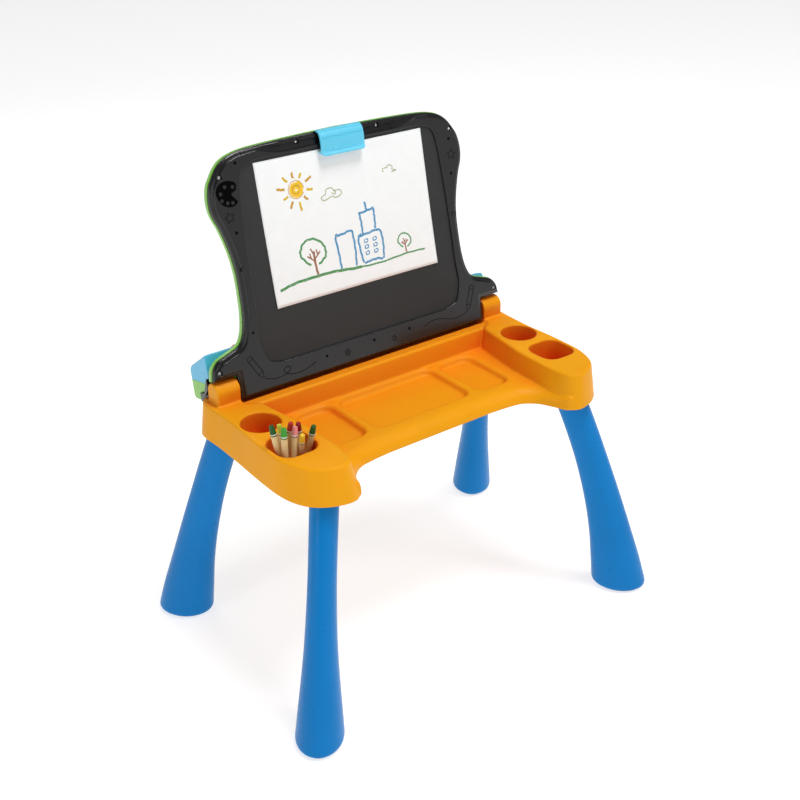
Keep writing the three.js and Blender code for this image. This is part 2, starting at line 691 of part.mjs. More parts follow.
const VOLUME_X = -70;
const MODE_X = [57, 76];
const HANDSET_X = 153;
const SPEAKER_X = 228;
const SLIDER_X = -232;
const DISPLAY_HALF = [44, 14];

function keyX(index) {
  return KEY_FIRST_X + index * KEY_PITCH;
}

function consoleCover() {
  // The front is open to the lid's shell in the middle and walled beyond the shell's edge.
  const endWalls = [-1, 1].map((side) => {
    const [x0, x1] = [side * END_WALL_X, side * 263].sort((a, b) => a - b);
    return block(x0, x1, 20, 60, -CONSOLE_FRONT_T - 2.6, -28);
  });
  const cavity = cut(solid(coverBody(COVER_CAVITY, 2.6)), ...endWalls);
  let body = solid(coverBody(COVER_PROFILE, 0)).subtract(cavity);
  const holes = [];
  for (let i = 0; i < KEY_COUNT; i += 1) {
    holes.push(block(keyX(i) - 9.5, keyX(i) + 9.5, -17, 17, -8, 8));
  }
  for (const y of [-9.5, 9.5]) {
    holes.push(rod(VOLUME_X, y, -8, 8, 6.9, 16));
  }
  for (const x of MODE_X) {
    holes.push(rod(x, 0, -8, 8, 7.9, 18));
  }
  holes.push(block(-DISPLAY_HALF[0], DISPLAY_HALF[0], -DISPLAY_HALF[1], DISPLAY_HALF[1], -8, 8));
  holes.push(block(SLIDER_X - 9, SLIDER_X + 9, -3.4, 3.4, -8, 8));
  for (const y of [-6, 0, 6]) {
    const half = y === 0 ? 9 : 7.5;
    holes.push(block(SPEAKER_X - half, SPEAKER_X + half, y - 1.2, y + 1.2, -8, 8));
  }
  body = cut(body, ...holes.map(onFace));
  const horns = [HANDSET_X - 66, HANDSET_X + 62.5].map((x) => onFace(block(x, x + 3.5, -10, 10, -1, 7)));
  return join(body, ...horns);
}

function consoleBase() {
  const outer = alongX(prism(asProfile(BASE_PROFILE), -CONSOLE_HALF_LENGTH, CONSOLE_HALF_LENGTH));
  const inner = alongX(prism(asProfile(BASE_CAVITY), -CONSOLE_HALF_LENGTH + 2.6, CONSOLE_HALF_LENGTH - 2.6));
  return cut(solid(outer), inner, block(-85, 85, -18, -12, -83.5, -65.5));
}

function hingeCover() {
  const outer = [[22.3, 32.7], [22.3, 34.7], [-2, 48], [-2, 61], [-15.5, 61], [-15.5, 57.5], [-6, 47], [4, 36], [10, 32.7]];
  const inner = [[25, 31], [25, 33], [-0.5, 46.5], [-4.3, 49], [-4.3, 65], [-13.5, 65], [-13.5, 58.6], [-4, 48.3], [5.4, 37.5], [10.8, 34.4], [19, 31]];
  const body = solid(alongX(prism(asProfile(outer), -266, 266)));
  return cut(body, alongX(prism(asProfile(inner), -263.5, 263.5)));
}

function musicKey(x) {
  const stem = prism(roundedBox(x - 9, x + 9, -16.5, 16.5, 2, 2), -4.6, 2.4);
  const crown = loft([
    { outline: roundedBox(x - 9, x + 9, -16.5, 16.5, 2, 2), z: 2 },
    { outline: roundedBox(x - 8, x + 8, -15.5, 15.5, 2, 2), z: 3.4 },
  ]);
  const flange = block(x - 10.2, x + 10.2, -17.7, 17.7, -4.8, -3.1);
  return join(solid(stem), crown, flange);
}

function roundButton(x, y, radius) {
  const profile = [
    [0, -5], [radius + 1, -5], [radius + 1, -3.1], [radius, -3.1], [radius, 2], [radius - 1.2, 3.2], [0, 3.2],
  ];
  const geometry = new THREE.LatheGeometry(profile.map(([r, z]) => new THREE.Vector2(r, z)), 14);
  return geometry.rotateX(Math.PI / 2).translate(x, y, 0);
}

function powerSlider() {
  const knob = loft([
    { outline: roundedBox(SLIDER_X - 8.6, SLIDER_X - 0.6, -3, 3, 1, 2), z: -3.4 },
    { outline: roundedBox(SLIDER_X - 8.6, SLIDER_X - 0.6, -3, 3, 1, 2), z: 2.2 },
    { outline: roundedBox(SLIDER_X - 7.6, SLIDER_X - 1.6, -2.2, 2.2, 1, 2), z: 3.2 },
  ]);
  return join(solid(knob), block(SLIDER_X - 10, SLIDER_X + 0.8, -5, 5, -4.6, -3));
}

function displayWindow() {
  const [x, y] = DISPLAY_HALF;
  const pane = prism(roundedBox(-x + GAP, x - GAP, -y + GAP, y - GAP, 1, 2), -2.9, -0.3);
  return join(solid(pane), block(-x - 2, x + 2, -y - 2, y + 2, -4.4, -2.8));
}

function handset() {
  const spine = [
    [-61, 0.5], [-58, 0.4], [-32, 0.4], [-28, 4], [28, 4], [32, 0.4], [58, 0.4], [61, 0.5],
    [61, 13], [56, 16.5], [34, 15.5], [0, 17.5], [-34, 15.5], [-56, 16.5], [-61, 13],
  ];
  const rings = [[-13, 1.6], [-11.4, 0], [11.4, 0], [13, 1.6]];
  const geometry = loft(rings.map(([y, inset]) => ({ outline: grown(spine, -inset), z: y })));
  return geometry.rotateX(Math.PI / 2).translate(HANDSET_X, 0, 0);
}

function speaker() {
  const profile = [[0, -17], [6.5, -17], [6.5, -12], [7.5, -11], [11, -7], [12, -6.5], [12, -4], [11, -3.4], [10, -4.4], [4, -8.5], [0, -7.6]];
  const geometry = new THREE.LatheGeometry(profile.map(([r, z]) => new THREE.Vector2(r, z)), 12);
  return geometry.rotateX(Math.PI / 2).translate(SPEAKER_X, 0, 0);
}

function mainBoard() {
  let body = solid(block(-95, 95, 22, 52, -41.2, -39.6));
  body = join(body, block(-12, 12, 28, 46, -43, -41), block(30, 40, 30, 38, -44, -41), block(-60, -48, 30, 42, -44, -41));
  return body;
}

const BATTERY_S = 0.5;
const BATTERY_T = 75;
const BATTERY_LENGTH = 50.5;

function battery(index) {
  const start = -77 + index * (BATTERY_LENGTH + 0.8);
  const profile = [[0, 0], [7.1, 0], [7.1, 49.2], [2.7, 49.2], [2.7, 50.5], [0, 50.5]];
  const geometry = new THREE.LatheGeometry(profile.map(([r, x]) => new THREE.Vector2(r, x)), 12);
  return geometry.rotateZ(-Math.PI / 2).translate(start, BATTERY_S, -BATTERY_T);
}

function batteryContact(x) {
  return block(x - 0.5, x + 0.5, BATTERY_S - 5.5, BATTERY_S + 5.5, -BATTERY_T - 5.5, -BATTERY_T + 5.5);
}

function batteryDoor() {
  const body = solid(block(-84.7, 84.7, -16, -13.6, -83.2, -65.8));
  return cut(body, alongFaceS(80, -74.5, -17, -12, 1.9), alongFaceS(80, -74.5, -17, -14.8, 3.3));
}

// A round solid running along s, at (x, z) in mesh space.
function alongFaceS(x, z, s0, s1, radius) {
  return prism(circle(x, -z, radius, 12), s0, s1).rotateX(-Math.PI / 2);
}

function doorScrew() {
  const profile = [[0, -15.9], [2.9, -15.9], [2.9, -15.1], [1.5, -15.1], [1.5, -6], [0, -5]];
  const geometry = new THREE.LatheGeometry(profile.map(([r, s]) => new THREE.Vector2(r, s)), 10);
  return geometry.translate(80, 0, -74.5);
}

// ---------------------------------------------------------------- assembly
function buildDesk(object) {
  part(object, "desk_top", deskTop(), ORANGE());
  const legs = { front: FRONT_LEG, rear: REAR_LEG };
  for (const [end, shape] of Object.entries(legs)) {
    for (const [name, side] of [["right", 1], ["left", -1]]) {
      part(object, `leg_${end}_${name}`, leg(shape, side), BLUE());
      part(object, `foot_pad_${end}_${name}`, footPad(shape, side), RUBBER());
    }
  }
  part(object, "hinge_pin_right", crossRod(HINGE_Y, HINGE_Z, 212, 263, PIN_RADIUS, 12), STEEL());
  part(object, "hinge_pin_left", crossRod(HINGE_Y, HINGE_Z, -263, -212, PIN_RADIUS, 12), STEEL());
  CRAYONS.forEach((entry, i) => {
    part(object, `crayon_${i + 1}`, crayon(entry), plastic(entry.color, 0.45));
  });
}

function buildLid(lid) {
  part(lid, "lid_front_frame", frontFrame(), BLACK());
  part(lid, "drawing_board", drawingBoard(), BOARD_GREY());
  part(lid, "paper_sheet", paperSheet(), WHITE());
  part(lid, "lid_back_shell", backShell(), GREEN());
  part(lid, "touch_panel", touchPanel(), WHITE());
  part(lid, "activity_page", activityPage(), WHITE());
  lidScrewSpots().forEach(([x, s], i) => {
    part(lid, `lid_screw_${i + 1}`, lidScrew(x, s), STEEL());
  });
  part(lid, "paper_clip", paperClip(), SKY());
  part(lid, "clip_pin", crossRod(CLIP_PIN_S, -CLIP_PIN_T, -33, 33, 1.4, 10), STEEL());
  part(lid, "clip_spring", clipSpring(), STEEL());
}

function buildConsole(lid) {
  part(lid, "console_cover", consoleCover(), SKY());
  part(lid, "console_base", consoleBase(), GREEN());
  part(lid, "hinge_cover", hingeCover(), BLACK());
  part(lid, "main_board", mainBoard(), plastic(0x2c7a3c, 0.6));
  for (let i = 0; i < 3; i += 1) {
    part(lid, `battery_${i + 1}`, battery(i), plastic(0x8a8d90, 0.35, 0.6));
  }
  part(lid, "battery_contact_left", batteryContact(-78.3), STEEL());
  part(lid, "battery_contact_right", batteryContact(77.6), STEEL());
  part(lid, "battery_door", batteryDoor(), GREEN());
  part(lid, "battery_door_screw", doorScrew(), STEEL());
  const face = faceFrame();
  lid.add(face);
  for (let i = 0; i < KEY_COUNT; i += 1) {
    part(face, `music_key_${i + 1}`, musicKey(keyX(i)), plastic(0xf58a28, 0.35));
  }
  part(face, "volume_down_button", roundButton(VOLUME_X, -9.5, 6.4), plastic(0xf58a28, 0.35));
  part(face, "volume_up_button", roundButton(VOLUME_X, 9.5, 6.4), plastic(0xf58a28, 0.35));
  part(face, "music_mode_button", roundButton(MODE_X[0], 0, 7.4), plastic(0x8058c0, 0.35));
  part(face, "page_mode_button", roundButton(MODE_X[1], 0, 7.4), plastic(0x8058c0, 0.35));
  part(face, "power_slider", powerSlider(), WHITE());
  part(face, "display_window", displayWindow(), plastic(0x30343a, 0.15));
  part(face, "speaker", speaker(), plastic(0x303236, 0.6));
  part(face, "phone_handset", handset(), WHITE());
}

const object = new THREE.Group();
buildDesk(object);
const lid = new THREE.Group();
lid.position.set(0, LID_Y, LID_Z);
lid.rotation.x = Math.PI / 2 - LID_LEAN;
buildLid(lid);
buildConsole(lid);
object.add(lid);

export default object;
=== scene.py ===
"""Children's activity desk with a flip-up electronic lid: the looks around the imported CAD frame.

Blender units are metres, +Z up, the child's side towards -Y. Outlines, profiles and places on the
lid are written in millimetres and scaled when a mesh is made.
"""

import json
import math

import bmesh
import bpy
import numpy as np
from mathutils import Matrix, Vector


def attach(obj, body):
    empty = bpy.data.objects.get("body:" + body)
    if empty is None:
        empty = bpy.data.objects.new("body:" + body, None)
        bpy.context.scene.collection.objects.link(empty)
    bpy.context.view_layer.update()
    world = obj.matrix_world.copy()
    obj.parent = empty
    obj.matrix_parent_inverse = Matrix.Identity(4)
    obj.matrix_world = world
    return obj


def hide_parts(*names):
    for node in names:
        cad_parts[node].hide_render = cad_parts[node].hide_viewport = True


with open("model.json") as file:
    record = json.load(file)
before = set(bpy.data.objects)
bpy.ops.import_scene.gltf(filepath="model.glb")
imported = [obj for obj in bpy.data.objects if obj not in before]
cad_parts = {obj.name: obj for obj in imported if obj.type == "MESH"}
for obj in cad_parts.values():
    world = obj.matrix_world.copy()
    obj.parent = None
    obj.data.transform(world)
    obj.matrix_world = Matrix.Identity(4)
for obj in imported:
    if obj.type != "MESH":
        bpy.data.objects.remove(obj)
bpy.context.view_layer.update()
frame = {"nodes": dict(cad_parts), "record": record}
record = frame["record"]
SLOTS = {part["node"]: part["material_slot"] for part in record["subparts"]}
BODIES = {node: body for body, nodes in record["behaviour"]["bodies"].items() for node in nodes}
MM = 0.001
SCALE = Matrix.Scale(MM, 4)


# ---------------- camera, lights, floor
def make_camera():
    data = bpy.data.cameras.new("camera")
    data.lens = 53.97
    data.sensor_width = 36
    camera = bpy.data.objects.new("camera", data)
    camera.location = (-0.97677, -1.2538, 1.21107)
    camera.rotation_euler = [math.radians(angle) for angle in (61.8163, 0, -37.5455)]
    bpy.context.scene.collection.objects.link(camera)
    bpy.context.scene.camera = camera


def make_light(name, place, target, width, height, power):
    data = bpy.data.lights.new(name, "AREA")
    data.shape = "ELLIPSE" if width == height else "RECTANGLE"
    data.size = width
    data.size_y = height
    data.energy = power
    light = bpy.data.objects.new(name, data)
    light.location = place
    aim = Vector(target) - Vector(place)
    light.rotation_euler = aim.to_track_quat("-Z", "Y").to_euler()
    bpy.context.scene.collection.objects.link(light)


def make_studio():
    world = bpy.data.worlds.new("studio")
    world.use_nodes = True
    background = world.node_tree.nodes["Background"]
    background.inputs["Color"].default_value = (1, 1, 1, 1)
    nodes = world.node_tree.nodes
    direction = nodes.new("ShaderNodeTexCoord")
    height = nodes.new("ShaderNodeSeparateXYZ")
    fade = nodes.new("ShaderNodeMapRange")
    for name, value in (("From Min", 0.1), ("From Max", 0.35), ("To Min", 0.62), ("To Max", 0.13)):
        fade.inputs[name].default_value = value
    world.node_tree.links.new(direction.outputs["Generated"], height.inputs["Vector"])
    world.node_tree.links.new(height.outputs["Z"], fade.inputs["Value"])
    world.node_tree.links.new(fade.outputs["Result"], background.inputs["Strength"])
    bpy.context.scene.world = world
    bpy.context.scene.view_settings.view_transform = "Standard"
    middle = (0, 0, 0.4)
    make_light("overhead", (0.9, -0.9, 6), middle, 2.2, 2.2, 225)
    make_light("left", (-2.5, -0.3, 1.0), middle, 0.2, 1.4, 9)
    make_light("front", (1.6, -2.2, 3.2), middle, 0.7, 0.7, 18)
    make_light("low_front", (-0.6, -3.2, 1.6), middle, 1.6, 1.6, 6)
    make_light("back", (0.4, 2.4, 2.0), middle, 1.6, 0.3, 12)


def make_floor():
    """A white floor a hair below the feet."""
    mesh = bmesh.new()
    bmesh.ops.create_grid(mesh, x_segments=1, y_segments=1, size=40)
    data = bpy.data.meshes.new("floor")
    mesh.to_mesh(data)
    mesh.free()
    floor = bpy.data.objects.new("floor", data)
    floor.location.z = -0.0005
    bpy.context.scene.collection.objects.link(floor)
    material = bpy.data.materials.new("floor_white")
    material.use_nodes = True
    shader = material.node_tree.nodes["Principled BSDF"]
    shader.inputs["Base Color"].default_value = (0.5, 0.5, 0.5, 1)
    shader.inputs["Roughness"].default_value = 0.9
    shader.inputs["Emission Color"].default_value = (1, 1, 1, 1)
    shader.inputs["Emission Strength"].default_value = 0.72
    data.materials.append(material)


make_camera()
make_studio()
make_floor()


# ---------------- materials
def linear(red, green, blue):
    """A screen colour, 0 to 255, as the linear colour that a shader takes."""
    values = []
    for channel in (red, green, blue):
        share = channel / 255
        values.append(share / 12.92 if share <= 0.04045 else ((share + 0.055) / 1.055) ** 2.4)
    return (*values, 1)


# The sockets of a colour mix.
MIX_SHARE, MIX_LOW, MIX_HIGH, MIX_RESULT = 0, 6, 7, 2


class Shading:
    """A Principled material under construction, in object space."""

    def __init__(self, name):
        self.material = bpy.data.materials.new(name)
        self.material.use_nodes = True
        self.nodes = self.material.node_tree.nodes
        self.links = self.material.node_tree.links
        self.shader = self.nodes["Principled BSDF"]
        self.place = self.nodes.new("ShaderNodeTexCoord")

    def add(self, kind, **inputs):
        node = self.nodes.new(kind)
        for name, value in inputs.items():
            node.inputs[name.replace("_", " ")].default_value = value
        return node

    def noise(self, scale, detail=2.0, roughness=0.5):
        node = self.add("ShaderNodeTexNoise", Scale=scale, Detail=detail, Roughness=roughness)
        self.links.new(self.place.outputs["Object"], node.inputs["Vector"])
        return node.outputs["Fac"]

    def mapped(self, source, low, high, start=0.3, stop=0.7):
        node = self.add("ShaderNodeMapRange", From_Min=start, From_Max=stop, To_Min=low, To_Max=high)
        self.links.new(source, node.inputs["Value"])
        return node.outputs["Result"]

    def mixed(self, source, low, high, start=0.3, stop=0.7):
        """The colours low and high, mixed by the source between start and stop."""
        node = self.nodes.new("ShaderNodeMix")
        node.data_type = "RGBA"
        node.inputs[MIX_LOW].default_value = low
        node.inputs[MIX_HIGH].default_value = high
        self.links.new(self.mapped(source, 0, 1, start, stop), node.inputs[MIX_SHARE])
        return node.outputs[MIX_RESULT]

    def hollow_shade_mask(self, reach):
        """1 on open surfaces, falling towards 0 far inside a hollow: the mask for painted shade in
        hollows.
        """
        node = self.add("ShaderNodeAmbientOcclusion", Distance=reach)
        node.samples = 6
        return node.outputs["AO"]

    def painted_hollow_shade(self, surface, hollow_shade_colour, reach):
        """Painted shade in hollows: the colour turns darker and redder where the mask finds a hollow,
        standing in for shade and for light bounced between its walls.
        """
        node = self.nodes.new("ShaderNodeMix")
        node.data_type = "RGBA"
        node.inputs[MIX_LOW].default_value = hollow_shade_colour
        self.links.new(surface, node.inputs[MIX_HIGH])
        self.links.new(self.mapped(self.hollow_shade_mask(reach), 0, 1, 0.25, 0.97), node.inputs[MIX_SHARE])
        return node.outputs[MIX_RESULT]

    def bump(self, source, strength, distance):
        node = self.add("ShaderNodeBump", Strength=strength, Distance=distance)
        self.links.new(source, node.inputs["Height"])
        self.links.new(node.outputs["Normal"], self.shader.inputs["Normal"])

    def set(self, **values):
        for name, value in values.items():
            self.shader.inputs[name.replace("_", " ")].default_value = value

    def colour(self, source, low, high, *limits):
        self.links.new(self.mixed(source, low, high, *limits), self.shader.inputs["Base Color"])

    def roughness(self, source, low, high):
        self.links.new(self.mapped(source, low, high), self.shader.inputs["Roughness"])


def scaled(colour, factor):
    return (*[min(1, channel * factor) for channel in colour[:3]], 1)


def plastic(name, colour, roughness=0.4, spread=0.05, grain=0.06, shine=0.3, coat=0.0, hollow_shade_colour=None):
    """Moulded plastic: slight flow marks in the colour, uneven gloss and a fine mould grain; with a
    hollow colour given, painted shade that darkens and reddens the colour in hollows.
    """
    shading = Shading(name)
    surface = shading.mixed(shading.noise(7, 3), scaled(colour, 1 - spread), scaled(colour, 1 + spread))
    # Painted shade: the colour darkens and reddens in hollows.
    if hollow_shade_colour:
        surface = shading.painted_hollow_shade(surface, hollow_shade_colour, 0.2)
    shading.links.new(surface, shading.shader.inputs["Base Color"])
    shading.roughness(shading.noise(38, 4, 0.6), roughness - 0.04, roughness + 0.06)
    shading.bump(shading.noise(1300, 2, 0.6), grain, 0.0001)
    shading.set(Specular_IOR_Level=shine, Coat_Weight=coat, Coat_Roughness=0.12)
    return shading.material


def metal(name, colour, roughness, streak=240):
    """Plated steel with fine drawing marks."""
    shading = Shading(name)
    shading.colour(shading.noise(streak, 3), scaled(colour, 0.85), scaled(colour, 1.08))
    shading.roughness(shading.noise(streak * 2, 2), roughness - 0.06, roughness + 0.08)
    shading.bump(shading.noise(streak * 6, 1), 0.08, 0.00005)
    shading.set(Metallic=1.0)
    return shading.material


def fibrous(name, colour, roughness=0.85):
    """Uncoated paper: faint clouds and a fibre grain."""
    shading = Shading(name)
    shading.colour(shading.noise(60, 5, 0.6), scaled(colour, 0.965), colour)
    shading.roughness(shading.noise(900, 2), roughness - 0.05, roughness + 0.05)
    shading.bump(shading.noise(2200, 4, 0.7), 0.15, 0.00006)
    shading.set(Specular_IOR_Level=0.25)
    return shading.material


def waxy(name, colour, cover=0.42):
    """A crayon stroke: the wax misses the low spots of the paper."""
    shading = Shading(name)
    bare = linear(240, 238, 230)
    shading.colour(shading.noise(900, 3, 0.7), bare, colour, cover - 0.06, cover + 0.05)
    shading.roughness(shading.noise(700, 2), 0.45, 0.7)
    shading.bump(shading.noise(1500, 3), 0.3, 0.0001)
    return shading.material


def speckled(name, low, high, scale, roughness):
    """A matte board with a fine speckle."""
    shading = Shading(name)
    shading.colour(shading.noise(scale, 3, 0.8), low, high, 0.38, 0.62)
    shading.roughness(shading.noise(14, 3), roughness - 0.05, roughness + 0.05)
    shading.bump(shading.noise(scale, 2, 0.7), 0.35, 0.00012)
    return shading.material


def glassy(name, colour):
    """A dark display lens: polished, with faint depth in the colour."""
    shading = Shading(name)
    shading.colour(shading.noise(18, 2), scaled(colour, 0.8), scaled(colour, 1.3))
    shading.roughness(shading.noise(60, 3), 0.05, 0.1)
    shading.set(Coat_Weight=1.0, Coat_Roughness=0.03)
    return shading.material


# The orange's hollow colour is painted shade: a darker, redder orange in the tray, the cups and other
# hollows.
ORANGE = plastic("orange_plastic", (0.9, 0.375, 0.006, 1), shine=0.1, hollow_shade_colour=(0.82, 0.14, 0.01, 1))
BLUE = plastic("blue_plastic", (0.002, 0.205, 0.57, 1), 0.3, grain=0.01, shine=0.13)
RUBBER = plastic("foot_rubber", (0.03, 0.034, 0.04, 1), 0.8, grain=0.4)
BLACK = plastic("black_plastic", (0.0085, 0.0088, 0.01, 1), 0.28, 0.12, 0.03, shine=0.32, coat=0.45)
BLACK_LINE = plastic("black_line_print", (0.0008, 0.0008, 0.001, 1), 0.6, spread=0.1, shine=0.04)
BOARD = speckled("board_grain", (0.0115, 0.0123, 0.013, 1), (0.023, 0.0243, 0.0255, 1), 1900, 0.62)
GREEN = plastic("green_plastic", (0.22, 0.56, 0.07, 1), 0.27, shine=0.5, coat=0.2)
SKY = plastic("sky_plastic", (0.085, 0.5, 0.78, 1), 0.28, shine=0.45, coat=0.2)
CLIP = plastic("clip_plastic", (0.12, 0.62, 0.86, 1), 0.24, shine=0.5, coat=0.3)
PAPER = fibrous("paper_white", (0.95, 0.97, 0.97, 1))
PANEL = plastic("panel_white", (0.8, 0.82, 0.83, 1), 0.45)
WHITE = plastic("white_plastic", (0.86, 0.86, 0.85, 1), 0.25, spread=0.02, coat=0.3)
KEY = plastic("key_orange", (0.91, 0.25, 0.012, 1), 0.25, coat=0.3)
VIOLET = plastic("button_violet", (0.2, 0.08, 0.5, 1), 0.25, coat=0.3)
STEEL = metal("plated_steel", (0.66, 0.67, 0.69, 1), 0.28)
CELL = metal("battery_can", (0.3, 0.31, 0.33, 1), 0.34)
CIRCUIT = speckled("solder_mask", (0.012, 0.12, 0.035, 1), (0.018, 0.17, 0.05, 1), 500, 0.4)
LENS = glassy("display_lens", (0.012, 0.015, 0.02, 1))
CONE = speckled("speaker_paper", (0.012, 0.012, 0.013, 1), (0.03, 0.03, 0.03, 1), 1400, 0.8)
BARREL = plastic("crayon_barrel", linear(232, 208, 150), 0.42)
RING = plastic("crayon_ring", linear(245, 243, 232), 0.4)


# ---------------- outlines, in millimetres
def arc(x, y, radius, start, stop, steps):
    angles = np.radians(np.linspace(start, stop, steps + 1))
    return np.column_stack([x + radius * np.cos(angles), y + radius * np.sin(angles)])


def circle(x, y, radius, steps):
    return arc(x, y, radius, 0, 360, steps)[:-1]


def rounded_box(x0, x1, y0, y1, corner, steps=8):
    return np.vstack([
        arc(x1 - corner, y0 + corner, corner, -90, 0, steps),
        arc(x1 - corner, y1 - corner, corner, 0, 90, steps),
        arc(x0 + corner, y1 - corner, corner, 90, 180, steps),
        arc(x0 + corner, y0 + corner, corner, 180, 270, steps),
    ])


def spline(points, steps, closed=False):
    """A centripetal Catmull-Rom curve through the points, with this many steps between two."""
    keys = np.array(points, float)
    if closed:
        padded = np.vstack([keys[-1:], keys, keys[:2]])
    else:
        padded = np.vstack([2 * keys[0] - keys[1], keys, 2 * keys[-1] - keys[-2]])
    shares = (np.arange(steps) / steps)[:, None]
    curve = []
    for a, b, c, d in zip(padded, padded[1:], padded[2:], padded[3:]):
        ab, bc, cd = [math.sqrt(np.linalg.norm(q - p)) for p, q in ((a, b), (b, c), (c, d))]
        leave = bc * ((b - a) / ab - (c - a) / (ab + bc) + (c - b) / bc)
        arrive = bc * ((c - b) / bc - (d - b) / (bc + cd) + (d - c) / cd)
        cubic = 2 * b - 2 * c + leave + arrive
        square = -3 * b + 3 * c - 2 * leave - arrive
        curve.append(b + leave * shares + square * shares**2 + cubic * shares**3)
    if not closed:
        curve.append(keys[-1:])
    return np.vstack(curve)


def mirrored(outline):
    return (outline * (-1, 1))[::-1]


def span(side, near, far):
    """From low to high x on the right (1) or the left (-1)."""
    return sorted((side * near, side * far))


def grown(outline, distance):
    """A counter-clockwise outline moved outwards."""
    if distance == 0:
        return outline
    before = outline - np.roll(outline, 1, axis=0)
    after = np.roll(outline, -1, axis=0) - outline
    a = np.column_stack([before[:, 1], -before[:, 0]]) / np.linalg.norm(before, axis=1)[:, None]
    b = np.column_stack([after[:, 1], -after[:, 0]]) / np.linalg.norm(after, axis=1)[:, None]
    spread = np.maximum(1 + (a * b).sum(axis=1), 0.5)[:, None]
    return outline + (a + b) * distance / spread


def flat(outline, z):
    return np.column_stack([outline, np.full(len(outline), z)])


def rounding(inset, depth, steps):
    """A quarter round from the wall to the face: pairs of (inset, distance below the face)."""
    for angle in np.radians(np.linspace(0, 90, steps + 1)):
        yield inset * (1 - math.cos(angle)), depth * (1 - math.sin(angle))


# ---------------- meshes
def new_object(mesh):
    data = bpy.data.meshes.new("piece")
    mesh.to_mesh(data)
    mesh.free()
    piece = bpy.data.objects.new("piece", data)
    bpy.context.scene.collection.objects.link(piece)
    return piece


def outward(mesh):
    """An object of closed surfaces whose faces all look outwards."""
    bmesh.ops.recalc_face_normals(mesh, faces=mesh.faces)
    return new_object(mesh)


def band(mesh, low, high):
    """Faces between two closed loops of vertices."""
    for i in range(len(low)):
        j = (i + 1) % len(low)
        mesh.faces.new((low[i], low[j], high[j], high[i]))


def tube(mesh, loops):
    """Bands through the loops, with a face over each end."""
    for low, high in zip(loops, loops[1:]):
        band(mesh, low, high)
    mesh.faces.new(loops[0][::-1])
    mesh.faces.new(loops[-1])


def loft(rings, matrix=SCALE):
    """A closed solid through rings of equal point count, each an array of (x, y, z)."""
    mesh = bmesh.new()
    tube(mesh, [[mesh.verts.new(matrix @ Vector(point)) for point in ring] for ring in rings])
    return outward(mesh)


def prism(outline, z0, z1, matrix=SCALE):
    return loft([flat(outline, z0), flat(outline, z1)], matrix)


def along_x(profile, x):
    """A profile in (y, z) as a ring at x."""
    profile = np.array(profile, float)
    return np.column_stack([np.full(len(profile), x), profile])


def beam(profile, x0, x1, matrix=SCALE):
    return loft([along_x(profile, x0), along_x(profile, x1)], matrix)


def lathe(profile, matrix, sides):
    """A solid of revolution about local Z; the profile lists (radius, z) and ends on the axis."""
    mesh = bmesh.new()
    angles = np.linspace(0, math.tau, sides + 1)[:-1]
    rings = []
    for radius, z in profile[1:-1]:
        ring = [(radius * math.cos(a), radius * math.sin(a), z) for a in angles]
        rings.append([mesh.verts.new(matrix @ Vector(point)) for point in ring])
    bottom, top = [mesh.verts.new(matrix @ Vector((0, 0, profile[end][1]))) for end in (0, -1)]
    for i in range(sides):
        j = (i + 1) % sides
        mesh.faces.new((bottom, rings[0][j], rings[0][i]))
        mesh.faces.new((top, rings[-1][i], rings[-1][j]))
        for low, high in zip(rings, rings[1:]):
            mesh.faces.new((low[i], low[j], high[j], high[i]))
    return outward(mesh)


def merged(pieces):
    """One object made of several that don't touch."""
    mesh = bmesh.new()
    for piece in pieces:
        mesh.from_mesh(piece.data)
        bpy.data.objects.remove(piece)
    return new_object(mesh)


def bake(piece):
    """Applies a piece's modifiers."""
    depsgraph = bpy.context.evaluated_depsgraph_get()
    data = bpy.data.meshes.new_from_object(piece.evaluated_get(depsgraph))
    piece.modifiers.clear()
    old = piece.data
    piece.data = data
    bpy.data.meshes.remove(old)
    return piece


def combine(piece, operation, *tools):
    for tool in tools:
        modifier = piece.modifiers.new("boolean", "BOOLEAN")
        modifier.operation = operation
        modifier.solver = "EXACT"
        modifier.object = tool
    bake(piece)
    for tool in tools:
        bpy.data.objects.remove(tool)
    return piece


def join(piece, *tools):
    return combine(piece, "UNION", *tools)


def cut(piece, *tools):
    return combine(piece, "DIFFERENCE", *tools)


def softened(piece, width, angle=32, segments=3):
    """Rounds the edges that turn more than the angle, and shades the rest smooth."""
    mesh = bmesh.new()
    mesh.from_mesh(piece.data)
    bmesh.ops.remove_doubles(mesh, verts=mesh.verts, dist=1e-5)
    bmesh.ops.dissolve_limit(mesh, angle_limit=math.radians(0.8), verts=mesh.verts, edges=mesh.edges)
    mesh.to_mesh(piece.data)
    mesh.free()
    bevel = piece.modifiers.new("edges", "BEVEL")
    bevel.width = width * MM
    bevel.segments = segments
    bevel.limit_method = "ANGLE"
    bevel.angle_limit = math.radians(angle)
    bevel.miter_outer = "MITER_ARC"
    bake(piece)
    return shaded(piece)


def shaded(piece, angle=38):
    piece.data.shade_smooth()
    piece.data.set_sharp_from_angle(angle=math.radians(angle))
    weights = piece.modifiers.new("normals", "WEIGHTED_NORMAL")
    weights.keep_sharp = True
    return bake(piece)


def remeshed(piece, voxel, passes, keep):
    """One even skin over the piece, relaxed so that its edges are softly rounded."""
    remesh = piece.modifiers.new("skin", "REMESH")
    remesh.mode = "VOXEL"
    remesh.voxel_size = voxel * MM
    relax = piece.modifiers.new("relax", "SMOOTH")
    relax.factor = 0.5
    relax.iterations = passes
    thin = piece.modifiers.new("thin", "DECIMATE")
    thin.ratio = keep
    bake(piece)
    piece.data.shade_smooth()
    return piece


def finished(piece, name, body, material=None, replaced=()):
    """Names a piece and says what it rides on and the CAD nodes that it replaces."""
    piece.name = name
    if material:
        piece.data.materials.clear()
        piece.data.materials.append(material)
    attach(piece, body)
    if replaced:
        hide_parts(*replaced)


